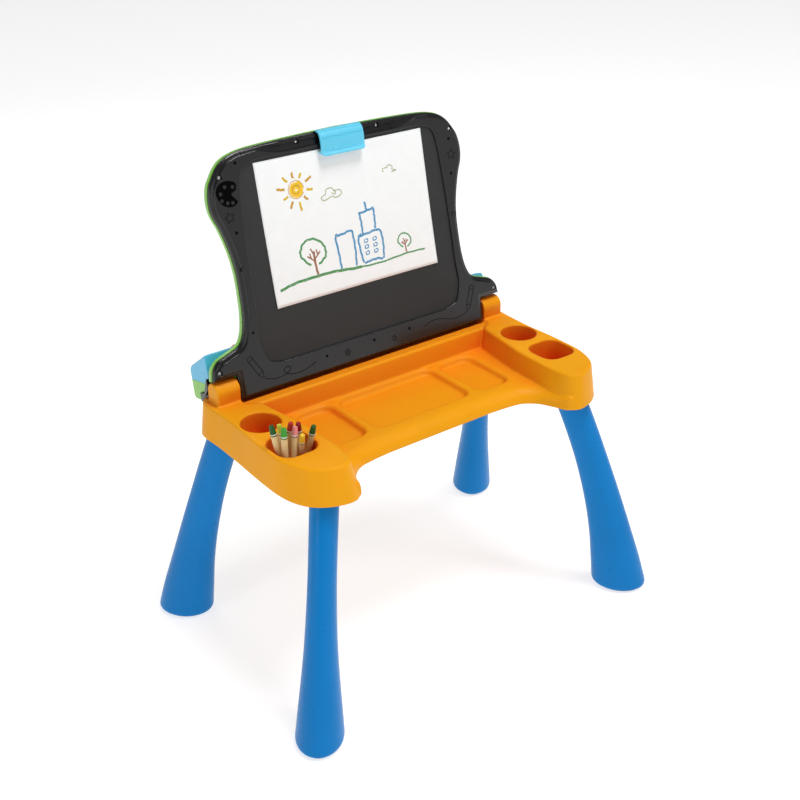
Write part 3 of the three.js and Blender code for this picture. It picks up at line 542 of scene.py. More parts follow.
def skin(piece, node, material=None):
    """Finishes a piece that stands in for one CAD node."""
    finished(piece, f"{node}_skin", BODIES[node], material, [node])


def copied(node):
    """A free copy of a CAD node's mesh."""
    piece = bpy.data.objects.new("copy", frame["nodes"][node].data.copy())
    bpy.context.scene.collection.objects.link(piece)
    return piece


# ---------------- the lid's own frame
# The fold's pin in lid space, and the bore around a pin.
PIN_S, PIN_Z, PIN_BORE = 4.7, -15.14, 3.35


def lid_frame():
    """Lid space is (x, s up the face, z out of the face) in millimetres."""
    fold = next(joint for joint in record["behaviour"]["joints"] if joint["name"] == "lid_fold")
    lean = math.radians(fold["range_deg"][1] - 90)
    up = Vector((0, math.sin(lean), math.cos(lean)))
    out = Vector((0, -math.cos(lean), math.sin(lean)))
    origin = Vector(fold["pos_m"]) - up * PIN_S * MM - out * PIN_Z * MM
    columns = Matrix((Vector((1, 0, 0)), up, out)).transposed().to_4x4()
    return Matrix.Translation(origin) @ columns @ SCALE


LID = lid_frame()
# The console's sloped face, from its low edge to its high edge in (s, z).
FACE_LOW = (54.5, -46)
FACE_HIGH = (37, -81)
FACE_SLOPE = math.atan2(FACE_HIGH[1] - FACE_LOW[1], FACE_HIGH[0] - FACE_LOW[0])
FACE_MIDDLE = ((FACE_LOW[0] + FACE_HIGH[0]) / 2, (FACE_LOW[1] + FACE_HIGH[1]) / 2)
FACE = LID @ Matrix.Translation((0, *FACE_MIDDLE)) @ Matrix.Rotation(FACE_SLOPE, 4, "X")


# ---------------- desk top
SKIRT_Z, TRAY_Z, SHOULDER_Z, STRIP_Z = 342, 362, 395.5, 393
DESK_WALL = 3
SHOULDER_ROUND = 3.4
# The desk is built this much too deep and its skirt is trimmed at the end, so that the edge is crisp.
SPARE = 5
HINGE_Y, HINGE_Z = 105.8, 411.8
TROUGH_RADIUS, TAB_RADIUS = 25.6, 15.3
SHOULDER_TOP = [
    [232, 131], [232, 92], [226, 78], [212, 69], [207, 45], [202, 10], [197, -23], [195, -67],
    [195, -108], [201, -137], [216, -147], [232, -144], [250, -135], [262, -123], [271, -104],
    [277, -80], [278, -54], [277.5, -15], [275, 34], [276, 76], [277, 119], [269, 131],
]
SHOULDER_BASE = [
    [220, 136], [219, 90], [212, 76], [199, 62], [193, 40], [188, 8], [184, -23], [182, -67],
    [182, -110], [192, -145], [207, -157], [234, -153], [254, -142], [267, -129], [277, -108],
    [282, -82], [283, -54], [282.5, -15], [281, 34], [281, 76], [281.5, 123], [272, 136],
]
# The front edge of the middle: foot (x, y) and how far it rolls back (x, y).
VALANCE = [
    [95, -84.5, 0, 24], [127, -87, 7, 22], [152, -92, 14, 18], [170, -106, 17, 12],
    [182, -127, 12, 4], [193, -149, 4, 0.5], [205, -150, 0, 0.5],
]
VALANCE_ROLL = VALANCE[0][3]
MIDDLE_REAR, CAVITY_REAR = 100, 72
POCKETS = [(-90, 90, -46, 62), (103, 168, -48, 60), (-168, -103, -48, 60)]
POCKET_Z, CUP_Z, CUP_WALL = 353, 347, 2.4
# How much wider a cup or a pocket gets from its floor to its rim, on each side.
CUP_DRAFT, POCKET_DRAFT = 3.5, 4


def shoulder_ring(z, inset):
    """The shoulder's outline at a height, between its base and its top."""
    height = (z - SKIRT_Z) / (SHOULDER_Z - SKIRT_Z)
    keys = np.array(SHOULDER_BASE) * (1 - height) + np.array(SHOULDER_TOP) * height
    return flat(grown(spline(keys, 7, closed=True), -inset), z)


def shoulder():
    rings = [shoulder_ring(SKIRT_Z - SPARE, 0), shoulder_ring(370, 0)]
    edge = rounding(SHOULDER_ROUND, SHOULDER_ROUND, 6)
    rings += [shoulder_ring(SHOULDER_Z - depth, inset) for inset, depth in edge]
    return loft(rings)


def shoulder_cavity():
    heights = (SKIRT_Z - SPARE - 1, SHOULDER_Z - DESK_WALL)
    return loft([shoulder_ring(z, DESK_WALL) for z in heights])


def flipped(piece):
    """The same piece on the left side."""
    piece.data.transform(Matrix.Scale(-1, 4, (1, 0, 0)))
    piece.data.flip_normals()
    return piece


def middle_ring(share, z, rear, front=VALANCE):
    """The outline between the shoulders, its front edge rolled back by a share from 0 to 1."""
    keys = np.array([[x + share * roll_x, y + share * roll_y] for x, y, roll_x, roll_y in front])
    half = spline(keys, 8)
    end = front[-1][0]
    return flat(np.vstack([mirrored(half), half, [[end, rear], [-end, rear]]]), z)


def middle():
    edge = rounding(1, TRAY_Z - SKIRT_Z, 12)
    rings = [middle_ring(share, TRAY_Z - depth, MIDDLE_REAR) for share, depth in edge]
    return loft([flat(rings[0][:, :2], SKIRT_Z - SPARE), *rings])


def middle_cavity():
    front = [*VALANCE[:4], [180, -122, 12, 4], [188, -134, 4, 1], [200, -136, 0, 1]]
    wall_share = DESK_WALL / VALANCE_ROLL
    rings = []
    for share, depth in rounding(1, TRAY_Z - SKIRT_Z, 8):
        rings.append(middle_ring(share + wall_share, TRAY_Z - depth - DESK_WALL, CAVITY_REAR, front))
    return loft([flat(rings[0][:, :2], SKIRT_Z - SPARE - 4), *rings])


def rear_beam():
    low = SKIRT_Z - SPARE
    profile = [
        [64, 345], [66, 362], [71.4, 390.6], [73.6, STRIP_Z], [131, STRIP_Z], [136, SKIRT_Z],
        [136, low], [64, low],
    ]
    return beam(profile, -234, 234)


def rear_beam_cavity():
    return beam([[75, 330], [76, 362], [79, 381], [128, 381], [132.5, 330]], -216, 216)


def trough():
    """The tool for the round bed that the lid's knuckles turn in."""
    low = HINGE_Z - TROUGH_RADIUS
    sweep = arc(HINGE_Y, HINGE_Z, TROUGH_RADIUS, 180, 270, 16)
    return beam(np.vstack([sweep, [[140, low], [140, HINGE_Z]]]), -230.5, 230.5)


def hinge_tab(side):
    top = arc(HINGE_Y, HINGE_Z, TAB_RADIUS, 0, 180, 32)
    profile = np.vstack([[[HINGE_Y - TAB_RADIUS, 394], [HINGE_Y + TAB_RADIUS, 394]], top])
    return beam(profile, *span(side, 231, 268))


def hollow(outline_at, floor_z, top_z, floor_round, rim_round):
    """A tool that sinks a hollow with a rounded floor and a rounded rim."""
    def ring(z, offset):
        height = (min(max(z, floor_z), top_z) - floor_z) / (top_z - floor_z)
        return flat(grown(outline_at(height), offset), z)

    rings = []
    for angle in np.radians(np.linspace(0, 90, 8)):
        rise, inset = floor_round * (1 - math.cos(angle)), floor_round * (1 - math.sin(angle))
        rings.append(ring(floor_z + rise, -inset))
    rings += [ring(top_z - depth, inset) for inset, depth in rounding(rim_round, rim_round, 6)]
    rings.append(ring(top_z + 1, rim_round))
    return loft(rings)


def round_cup(side):
    return lambda height: circle(side * 242.5, 19.7, 25.5 + CUP_DRAFT * height, 72)


def square_cup(side):
    def outline(height):
        x, y, half = side * 241, -57, 27.5 + CUP_DRAFT * height
        return rounded_box(x - half, x + half, y - half, y + half, 21, 14)
    return outline


def pocket(x0, x1, y0, y1):
    def outline(height):
        inset = POCKET_DRAFT * (1 - height)
        corner = 14 + POCKET_DRAFT * height
        return rounded_box(x0 + inset, x1 - inset, y0 + inset, y1 - inset, corner, 10)
    return outline


def desk_top():
    right, left = shoulder(), flipped(shoulder())
    desk = join(middle(), right, left, rear_beam())
    right, left = shoulder_cavity(), flipped(shoulder_cavity())
    desk = cut(desk, middle_cavity(), rear_beam_cavity(), right, left)
    added, taken = [], [trough()]
    for side in (1, -1):
        for outline in (round_cup(side), square_cup(side)):
            added.append(prism(grown(outline(0.8), CUP_WALL), CUP_Z - CUP_WALL, SHOULDER_Z - 1))
            taken.append(hollow(outline, CUP_Z, SHOULDER_Z, 6, 1.4))
        added.append(hinge_tab(side))
        for _, _, (x, y) in LEGS.values():
            added.append(prism(circle(side * x, y, SOCKET_RADIUS, 48), 345, 393.7))
            taken.append(prism(circle(side * x, y, SOCKET_BORE, 48), SKIRT_Z - SPARE - 1, 386))
        bore = circle(HINGE_Y, HINGE_Z, PIN_BORE, 24)
        taken.append(beam(bore, *span(side, 230.6, 263.5)))
    for x0, x1, y0, y1 in POCKETS:
        outer = rounded_box(x0 - DESK_WALL, x1 + DESK_WALL, y0 - DESK_WALL, y1 + DESK_WALL, 18)
        added.append(prism(outer, 350, TRAY_Z - 1))
        taken.append(hollow(pocket(x0, x1, y0, y1), POCKET_Z, TRAY_Z, 4.5, 4.5))
    desk = cut(join(desk, merged(added)), merged(taken))
    remeshed(desk, 1.5, 4, 0.4)
    desk = cut(desk, prism(rounded_box(-300, 300, -180, 160, 5), SKIRT_Z - 12, SKIRT_Z))
    desk.data.shade_smooth()
    desk.data.set_sharp_from_angle(angle=math.radians(50))
    skin(desk, "desk_top", ORANGE)


# ---------------- legs
LEG_TOP_Z = 344.7
PLUG_DIAMETER, PLUG_TOP_Z = 30.6, 380
SOCKET_RADIUS, SOCKET_BORE = 20, 15.8
# Each leg bends from its foot over a middle point to the plug in the desk, in (x, y).
LEGS = {
    "front": ((300.5, -190), (278.4, -168.1), (228, -113.8)),
    "rear": ((303, 190.42), (284, 165), (249, 109)),
}
# The legs splay this many degrees away from the desk's long sides.
SPLAY = 50
FOOT_ACROSS, FOOT_ALONG = 58, 76
# Height, diameter across and diameter along the way the leg splays.
LEG_STATIONS = [
    [3.3, FOOT_ACROSS, FOOT_ALONG], [3.5, 63, 81], [4.6, 66.4, 84.8], [8, 69, 87.5],
    [22, 67, 85.5], [50, 62, 80.5], [88, 55, 72], [130, 48, 64.5], [172, 43.5, 59],
    [230, 40, 53.5], [285, 40, 51.5], [LEG_TOP_Z, 41, 51],
]
# A foot pad's height and how much smaller its oval is there.
PAD_STATIONS = ((0, 2), (0.4, 0.6), (1, 0), (3, 0))


def leg_ring(route, side, z, across, along, centre_z=None):
    """An oval at height z, centred where the leg's curve is at centre_z."""
    foot, bend, top = [np.array(point) for point in route]
    share = min(1, max(0, (z if centre_z is None else centre_z) / LEG_TOP_Z))
    centre = foot * (1 - share) ** 2 + 2 * bend * share * (1 - share) + top * share**2
    angle = math.copysign(math.radians(SPLAY), foot[1])
    section = circle(0, 0, 0.5, 64) * (along, across)
    turn = np.array([[math.cos(angle), math.sin(angle)], [-math.sin(angle), math.cos(angle)]])
    return flat((section @ turn + centre) * (side, 1), z)


def legs():
    for end, route in LEGS.items():
        for word, side in (("right", 1), ("left", -1)):
            rings = [leg_ring(route, side, *station) for station in spline(LEG_STATIONS, 5)]
            rings.append(leg_ring(route, side, LEG_TOP_Z + 0.1, PLUG_DIAMETER, PLUG_DIAMETER))
            rings.append(leg_ring(route, side, PLUG_TOP_Z, PLUG_DIAMETER, PLUG_DIAMETER, LEG_TOP_Z))
            skin(shaded(loft(rings), 50), f"leg_{end}_{word}", BLUE)
            rings = []
            for z, less in PAD_STATIONS:
                rings.append(leg_ring(route, side, z, FOOT_ACROSS - less, FOOT_ALONG - less, 0))
            skin(shaded(loft(rings), 50), f"foot_pad_{end}_{word}", RUBBER)


# ---------------- crayons
CRAYON_COLOURS = {
    "crayon_dark_green": (34, 92, 36), "crayon_lime": (205, 205, 60), "crayon_green": (62, 158, 56),
    "crayon_red": (186, 44, 30), "crayon_pink": (236, 140, 138), "crayon_dark_red": (150, 22, 26),
    "crayon_yellow": (236, 196, 50),
}


def crayon_frame(node):
    """A crayon's own frame, with its length in millimetres, from the ends of its CAD node."""
    points = np.array([vertex.co for vertex in frame["nodes"][node].data.vertices])
    middle = points.mean(axis=0)
    spread = np.linalg.svd(points - middle)[2][0]
    axis = spread * math.copysign(1, spread[2])
    reach = (points - middle) @ axis
    base = Vector(middle + axis * reach.min())
    turn = Vector((0, 0, 1)).rotation_difference(Vector(axis)).to_matrix().to_4x4()
    return Matrix.Translation(base) @ turn @ SCALE, (reach.max() - reach.min()) / MM


CRAYON_CAP = 12


def crayons():
    """Each crayon has a pale barrel, a dark band, a ring and a coloured cap."""
    caps, bands = {}, {}
    for name, rgb in CRAYON_COLOURS.items():
        caps[name] = plastic(f"{name}_cap", linear(*rgb), 0.4)
        bands[name] = plastic(f"{name}_band", scaled(linear(*rgb), 0.45), 0.42)
    for node in sorted(name for name in SLOTS if name.startswith("crayon_")):
        matrix, length = crayon_frame(node)
        cap = length - CRAYON_CAP
        profile = [
            (0, 0), (3.9, 0), (4.45, 0.5), (4.45, cap - 3.2), (4.7, cap - 3), (4.7, cap - 1.3),
            (4.45, cap - 1.2), (4.45, cap - 0.1), (4.4, cap), (3.4, length - 0.9),
            (3.1, length - 0.2), (2.6, length), (0, length),
        ]
        crayon = lathe(profile, matrix, 36)
        slot = SLOTS[node]
        for material in (BARREL, bands[slot], RING, caps[slot]):
            crayon.data.materials.append(material)
        inverse = matrix.inverted()
        for polygon in crayon.data.polygons:
            height = (inverse @ polygon.center).z
            polygon.material_index = sum(height > mark for mark in (cap - 3.1, cap - 1.25, cap - 0.05))
        skin(shaded(crayon), node)


# ---------------- lid outlines
LID_EDGE = [
    [268, 25], [265, 38], [256, 49], [240, 55], [217, 64], [208, 79], [203, 102], [201, 132],
    [201, 165], [204, 190], [209, 212], [215, 232], [222, 250], [224, 268], [220, 290], [213, 302],
    [203, 315], [191, 324], [173, 330], [150, 333], [100, 335], [0, 337],
]
BOARD_OPENING = [
    [152, 24], [176, 32], [186, 58], [186, 72], [184, 95], [183, 140], [181, 200], [178, 250],
    [175.5, 280], [168, 305], [146, 315],
]
SCREWS = [(204, 301), (192, 170), (257.6, 34), (71, 328)]
SCREW_HOLE, POST_BORE, HEAD_RADIUS = 3.7, 1.9, 3.3
CLIP_S, CLIP_Z = 328, -2.2
# The black frame's edge in depth and inset: a rounded ledge, then a small step up to the plate.
FRAME_RIM = [
    (10, 0), (6.6, 0), (5.2, 0.3), (4.2, 1.1), (3.6, 2.3), (3.35, 3.6), (3.2, 4.8), (2.8, 5.4),
    (1.9, 5.7), (0.9, 6), (0.35, 6.5), (0.08, 7.2), (0, 8.2),
]


def lid_ring(z, grow):
    """The lid's outline with its ears beside the knuckles, moved outwards by grow."""
    edge = spline(LID_EDGE, 8)
    moved = grown(np.vstack([edge, mirrored(edge)[1:]]), grow)[:len(edge)].copy()
    moved[0] = [edge[0][0] + grow, edge[0][1]]
    moved[-1] = [0, edge[-1][1] + grow]
    ear = 23 - min(grow, 0)
    bottom = -13 - 0.6 * min(grow, 0)
    notch = 229.5 + min(grow, 0)
    moved[:, 1] = np.maximum(moved[:, 1], ear + 0.01 * np.arange(len(moved)))
    half = np.vstack([[[notch, bottom], [notch, ear], [268 + grow, ear]], moved[1:]])
    return flat(np.vstack([half, mirrored(half)[1:]]), z)


def board_ring(z, grow):
    half = spline(BOARD_OPENING, 8)
    return flat(grown(np.vstack([half, mirrored(half)]), grow), z)


def screw_spots():
    return [(side * x, s) for x, s in SCREWS for side in (1, -1)]


def screw_seat(s):
    """The depth of a screw's seat: the top pair sits in the channel."""
    return -8 if s > 320 else -4


# ---------------- lid front frame
def eased(share):
    share = min(1, max(0, share))
    return share * share * (3 - 2 * share)


def top_channel():
    """The tool for the channel along the lid's top edge, which fades at both ends."""
    floor = [
        (317.8, 0.6), (319.6, -2.9), (327.6, -4.6), (328.8, -2.4), (332.2, -3.2), (333.8, -6.6),
        (341, -9.6),
    ]
    low, rim = floor[0]
    rings = []
    for x in np.linspace(-186, 186, 63):
        fade = 1 - eased((abs(x) - 96) / 88)
        rise = 17 * (1 - fade)
        cutter = [(s + rise, rim + (z - rim) * fade) for s, z in floor]
        rings.append(along_x([*cutter, (345 + rise, 12), (low + rise, 12)], x))
    return loft(rings, LID)


def clip_lug(x0, x1):
    profile = np.vstack([[[CLIP_S - 4, -9.5], [CLIP_S + 4, -9.5]], arc(CLIP_S, CLIP_Z, 3, 0, 180, 16)])
    return beam(profile, x0, x1, LID)


def front_frame():
    body = loft([lid_ring(-depth, -inset) for depth, inset in FRAME_RIM], LID)
    inside = ((-11, -2.6), (-6.6, -2.8), (-5.2, -6), (-2.5, -9.6))
    body = cut(body, loft([lid_ring(z, grow) for z, grow in inside], LID))
    bosses = [prism(circle(x, s, 5, 32), -10, -1.2, LID) for x, s in screw_spots()]
    bar = prism(rounded_box(-164, 164, 318.4, 332, 1), -9.9, -1, LID)
    bar = combine(bar, "INTERSECT", loft([lid_ring(-12, -3), lid_ring(1, -3)], LID))
    body = join(body, bar)
    body = join(body, merged(bosses))
    well = prism(rounded_box(-39.5, 39.5, 320, 346, 2), -8.6, 12, LID)
    body = cut(body, top_channel(), well)
    body = join(body, clip_lug(-27, -22), clip_lug(22, 27))
    opening = [board_ring(-11, 0), board_ring(-1.3, 0)]
    opening += [board_ring(-depth, inset) for inset, depth in rounding(1.3, 1.3, 4)]
    opening.append(board_ring(1, 1.3))
    holes = []
    for x, s in screw_spots():
        steps = ((SCREW_HOLE, screw_seat(s) - 0.2), (SCREW_HOLE, -0.5), (4.2, 0), (4.2, 1))
        holes.append(loft([flat(circle(x, s, radius, 32), z) for radius, z in steps], LID))
    body = cut(body, loft(opening, LID), merged(holes))
    skin(shaded(body, 30), "lid_front_frame", BLACK)


def screw(matrix):
    """A domed cross-head screw whose head sits on local z = 0."""
    radius = HEAD_RADIUS
    profile = [
        (0, -16), (1.5, -14.5), (1.5, 0), (radius, 0), (radius, 0.8), (radius * 0.8, 1.7),
        (radius * 0.45, 2.15), (0, 2.3),
    ]
    head = lathe(profile, matrix, 28)
    cross = ((1.9, 0.42), (0.42, 1.9))
    arms = [prism(rounded_box(-a, a, -b, b, 0.2, 2), 1.2, 4, matrix) for a, b in cross]
    return shaded(cut(head, *arms), 35)


def lid_screws():
    for i, (x, s) in enumerate(screw_spots(), 1):
        turn = Matrix.Rotation(0.4 * i, 4, "Z")
        matrix = LID @ Matrix.Translation((x, s, screw_seat(s))) @ turn
        skin(screw(matrix), f"lid_screw_{i}", STEEL)


# ---------------- raised lines and prints
def ribbon(mesh, points, width, height_at, thickness, closed=False):
    """Adds a thin band along the points; height_at(x, s) gives the surface that it lies on."""
    line = np.array(points, float)
    if closed:
        before, after = np.roll(line, 1, axis=0), np.roll(line, -1, axis=0)
    else:
        before, after = np.vstack([line[:1], line[:-1]]), np.vstack([line[1:], line[-1:]])
    along = after - before
    along /= np.linalg.norm(along, axis=1)[:, None]
    across = np.column_stack([-along[:, 1], along[:, 0]]) * width / 2
    rows = []
    for (x, s), (dx, ds) in zip(line, across):
        row = []
        for share, lift in ((-1, 0), (1, 0), (0.75, thickness), (-0.75, thickness)):
            px, ps = x + share * dx, s + share * ds
            row.append(mesh.verts.new(LID @ Vector((px, ps, height_at(px, ps) + lift))))
        rows.append(row)
    if closed:
        for low, high in zip(rows, rows[1:] + rows[:1]):
            band(mesh, low, high)
    else:
        tube(mesh, rows)


def plate(mesh, outline, z0, z1, matrix=LID):
    """Adds a thin closed plate."""
    corners = [[matrix @ Vector((*point, z)) for point in outline] for z in (z0, z1)]
    tube(mesh, [[mesh.verts.new(corner) for corner in loop] for loop in corners])


def star(x, s, outer, inner, turn=0):
    radii = [outer if i % 2 == 0 else inner for i in range(10)]
    angles = np.radians(turn + 90 + 36 * np.arange(10))
    return np.column_stack([x + radii * np.cos(angles), s + radii * np.sin(angles)])


def flower(x, s, radius, petals, depth):
    angles = np.linspace(0, math.tau, 60)[:-1]
    reach = radius * (1 - depth * 0.5 + depth * 0.5 * np.cos(petals * angles))
    return np.column_stack([x + reach * np.cos(angles), s + reach * np.sin(angles)])


def pencil(x, s, angle):
    """A pencil's outline, tip first, then the lines behind its point and before its end."""
    turn = np.array([[math.cos(angle), math.sin(angle)], [-math.sin(angle), math.cos(angle)]])
    body = [[0, 0], [9, 4.2], [38, 4.2], [41, 3], [41, -3], [38, -4.2], [9, -4.2]]
    collar = [[9, -4.2], [10.5, 0], [9, 4.2]]
    end = [[35, -4.2], [35, 4.2]]
    return [np.array(points) @ turn + (x, s) for points in (body, collar, end)]


PALETTE = [
    [-194, 295], [-182, 290], [-183, 281], [-191, 276], [-186, 269], [-183, 264], [-190, 259],
    [-203, 261], [-212, 271], [-214, 284], [-206, 293],
]
PALETTE_WELLS = [
    (-187.5, 285.5), (-199.5, 287.5), (-207.5, 279), (-207.3, 269.5), (-199, 265), (-191, 264),
]
# Small flowers in (x, s, radius).
BLOSSOMS = [
    (-177, 316.5, 2.6), (-193.3, 222.3, 2.6), (-195.4, 78, 2.2), (-79.8, 10.7, 2.4), (8.5, 12, 2.6),
    (76.7, 12.2, 2.6), (196, 233, 2.4), (199, 286, 2.6),
]
SQUIGGLE = [
    [-189, 7.6], [-176, 2.8], [-161, 2.6], [-149, 6], [-144, 11], [-150, 14.5], [-156, 11],
    [-153, 5], [-142, 1], [-130, 0.4], [-115, 2.6], [-99.6, 8.2],
]
WAVE = [[105.9, 7.5], [120, 12.4], [137.6, 12], [152, 8], [166, 5], [181, 5.4], [195, 9.6]]


def frame_motifs():
    """Thin outlines printed on the frame: a palette, stars, flowers, pencils and their lines."""
    mesh = bmesh.new()

    def line(points, width=1.1, closed=False):
        ribbon(mesh, points, width, lambda x, s: -0.05, 0.3, closed)

    plate(mesh, spline(PALETTE, 8, closed=True)[::-1], -0.1, 0.22)
    line(star(-199.5, 244.8, 8, 4.1, 12), closed=True)
    line(star(200.5, 262, 8, 4.1, -8), closed=True)
    for x, s, radius in BLOSSOMS:
        plate(mesh, flower(x, s, radius, 6, 0.3), -0.1, 0.22)
    for x, s, radius in ((-42.6, 6.3, 5.4), (46.1, 5, 4.2)):
        line(flower(x, s, radius, 5, 0.4), 0.9, closed=True)
    line(circle(-42.6, 6.3, 1.7, 20), 0.8, closed=True)
    for x, s, angle in ((-190, 8.5, 2.08), (196, 10.5, 1.2)):
        body, collar, end = pencil(x, s, angle)
        line(body, 1.0, closed=True)
        line(collar, 0.8)
        line(end, 0.8)
    line(spline(SQUIGGLE, 10), 1.0)
    line(spline(WAVE, 10), 1.0)
    finished(outward(mesh), "frame_motifs", "lid", BLACK_LINE)
    wells = bmesh.new()
    for x, s in PALETTE_WELLS:
        plate(wells, circle(x, s, 2.7, 24), 0.05, 0.5)
    finished(outward(wells), "palette_wells", "lid", BLACK)


# ---------------- paper and its drawing
PAPER_S0, PAPER_S1, PAPER_HALF = 101, 311, 148.5
PAPER_BACK_Z, PAPER_THICK = -2.35, 0.16
# A wax stroke starts this far above the sheet's back and is this thick.
WAX_LIFT, WAX_THICK = 0.17, 0.1


def paper_height(x, s):
    """The sheet lies on the board, a little wavy, and its lower corners lift."""
    down = (PAPER_S1 - s) / (PAPER_S1 - PAPER_S0)
    wave = 0.12 * math.sin(x / 31) * math.sin(s / 27 + 0.7)
    corner = (abs(x) / PAPER_HALF) ** 6 * max(0, down) ** 5
    return PAPER_BACK_Z + wave * down + 1.6 * corner


def paper_sheet():
    mesh = bmesh.new()
    columns, rows = 60, 42
    xs = [PAPER_HALF * (2 * i / columns - 1) for i in range(columns + 1)]
    grids = []
    for lift in (0, PAPER_THICK):
        grid = []
        for j in range(rows + 1):
            s = PAPER_S0 + (PAPER_S1 - PAPER_S0) * j / rows
            points = [Vector((x, s, paper_height(x, s) + lift)) for x in xs]
            grid.append([mesh.verts.new(LID @ point) for point in points])
        grids.append(grid)
    for grid in grids:
        for j in range(rows):
            for i in range(columns):
                mesh.faces.new((grid[j][i], grid[j][i + 1], grid[j + 1][i + 1], grid[j + 1][i]))
    rims = [[[row[end] for row in grid] for grid in grids] for end in (0, -1)]
    rims += [[grid[end] for grid in grids] for end in (0, -1)]
    for low, high in rims:
        for i in range(len(low) - 1):
            mesh.faces.new((low[i], low[i + 1], high[i + 1], high[i]))
    sheet = outward(mesh)
    sheet.data.shade_smooth()
    skin(sheet, "paper_sheet", PAPER)


def wobbled(points, steps=6, amount=0.35, phase=0.0):
    """A hand-drawn line through the points."""
    line = spline(points, steps)
    count = np.arange(len(line))
    return line + np.column_stack([np.sin(count * 1.7 + phase), np.cos(count * 1.3 + phase)]) * amount


def stroke_set(name, material, strokes):
    """One piece from strokes, each a pair of points and width."""
    mesh = bmesh.new()
    for points, width in strokes:
        ribbon(mesh, points, width, lambda x, s: paper_height(x, s) + WAX_LIFT, WAX_THICK)
    finished(outward(mesh), name, "lid", material)


SUN = np.array([-86, 262])


def sun_strokes():
    """The sun's spiral, and its rays in two colours."""
    turns = np.linspace(0, 4.2 * math.tau, 120)
    radii = 2 + 9.2 * turns / turns[-1]
    spiral = np.column_stack([radii * np.cos(turns), radii * np.sin(turns)]) + SUN
    rays = [[], []]
    for i in range(10):
        angle = math.radians(98 + 36 * i)
        way = np.array([math.cos(angle), math.sin(angle)])
        inner = 16.5 + 1.2 * (i % 3)
        outer = 25 + 3.5 * ((i * 7) % 3)
        ray = [SUN + way * inner, SUN + way * (inner + outer) / 2, SUN + way * outer]
        rays[i % 2].append((wobbled(ray, 3), 3.6))
    return spiral, rays


def tree_strokes(x, s, size):
    """A tree's crown, and its trunk with branches, from a point low in the crown."""
    def at(*points):
        return np.array(points) * size + (x, s)

    crown = at((-8, -14), (-23, 5), (-15, 21), (2, 24), (18, 12), (20, -4), (6, -15))
    trunk = at((2, -31), (0, -12), (0, 6))
    branches = [
        at((0, -9), (-12, 1)), at((-6, -5), (-7, 4)), at((0, -6), (11, 4)),
        at((6, -1), (5, 8)), at((0, 0), (-5, 11)),
    ]
    leaves = [(wobbled(crown, 8, 0.5 * size), 1 + 2.4 * size)]
    wood = [(wobbled(trunk, 6, 0.2), 1 + 2.8 * size)]
    wood += [(wobbled(branch, 3, 0.1), 0.8 + 1.6 * size) for branch in branches]
    return leaves, wood


CLOUDS = [
    [[-43, 237], [-46, 242], [-38, 246], [-36, 252], [-26, 253], [-22, 248], [-12, 248], [-10, 242],
     [-21, 238], [-27, 241], [-36, 238], [-43, 237]],
    [[-27, 246], [-21, 243], [-22, 250]],
    [[69, 258], [69, 263], [77, 264], [80, 267], [87, 264], [86, 260], [93, 257], [84, 256]],
]
HILL = [
    [-139, 125], [-114, 130], [-76, 131.5], [-44, 131.5], [-5, 128], [43, 126], [92, 129],
    [128, 128.5],
]
# The town's walls and roofs, each a stroke.
WALLS = [
    [[-29, 132], [-30, 156], [-31.5, 182], [-28, 185]], [[-31, 182], [-17, 183], [-4, 185], [0, 181]],
    [[-1, 182], [0, 156], [-2, 131]], [[17, 176], [17, 192], [15.5, 208]],
    [[15, 206], [29, 208], [43, 210]], [[42, 209], [42, 195], [41, 179]],
    [[29, 209], [28.5, 215], [28, 222]], [[12, 132], [9, 150], [8.5, 172], [14, 176]],
    [[10, 173], [28, 175], [46, 176], [51, 171]], [[50.5, 172], [51.5, 150], [49, 131]],
    [[14, 131], [26, 133], [40, 133], [47, 130]],
]
WINDOW = [(-3, 2.5), (-2.6, -2), (2.6, -1.8), (2.8, 2), (-1, 2.6)]


def drawing():
    """A child's crayon drawing: sun, clouds, trees and a town on a hill line."""
    wax = {}
    for name, rgb, cover in (
        ("yellow", (250, 200, 20), 0.36), ("amber", (200, 150, 0), 0.36), ("ochre", (216, 182, 0), 0.36),
        ("green", (44, 140, 62), 0.4), ("brown", (158, 98, 66), 0.4), ("blue", (30, 138, 192), 0.4),
        ("olive", (150, 158, 84), 0.42),
    ):
        wax[name] = waxy(f"wax_{name}", linear(*rgb), cover)
    spiral, rays = sun_strokes()
    stroke_set("drawing_sun", wax["yellow"], [(spiral, 3.1)])
    rim = [wobbled(circle(*SUN, radius, 30), 2, 0.5)[:-2] for radius in (12.8, 6.2)]
    stroke_set("drawing_sun_rim", wax["amber"], [(rim[0], 1.2), (rim[1], 1.3), *rays[0]])
    stroke_set("drawing_rays", wax["ochre"], rays[1])
    clouds = [(wobbled(cloud, 6, 0.25), 1.5) for cloud in CLOUDS]
    stroke_set("drawing_clouds", wax["olive"], clouds)
    leaves, wood = tree_strokes(-73, 163, 1.0)
    small_leaves, small_wood = tree_strokes(92, 147, 0.56)
    hill = wobbled(HILL, 8, 0.3)
    half = len(hill) * 3 // 5
    green = [*leaves, *small_leaves, (hill[:half + 1], 4.2), (hill[half:], 2.6)]
    stroke_set("drawing_green", wax["green"], green)
    stroke_set("drawing_wood", wax["brown"], [*wood, *small_wood])
    town = [(wobbled(wall, 6, 0.4, i), 3.4) for i, wall in enumerate(WALLS)]
    for x in (21, 37):
        for s in (164, 155, 145.5):
            town.append((wobbled([(x + dx, s + ds) for dx, ds in WINDOW], 3, 0.2), 1.9))
    stroke_set("drawing_town", wax["blue"], town)


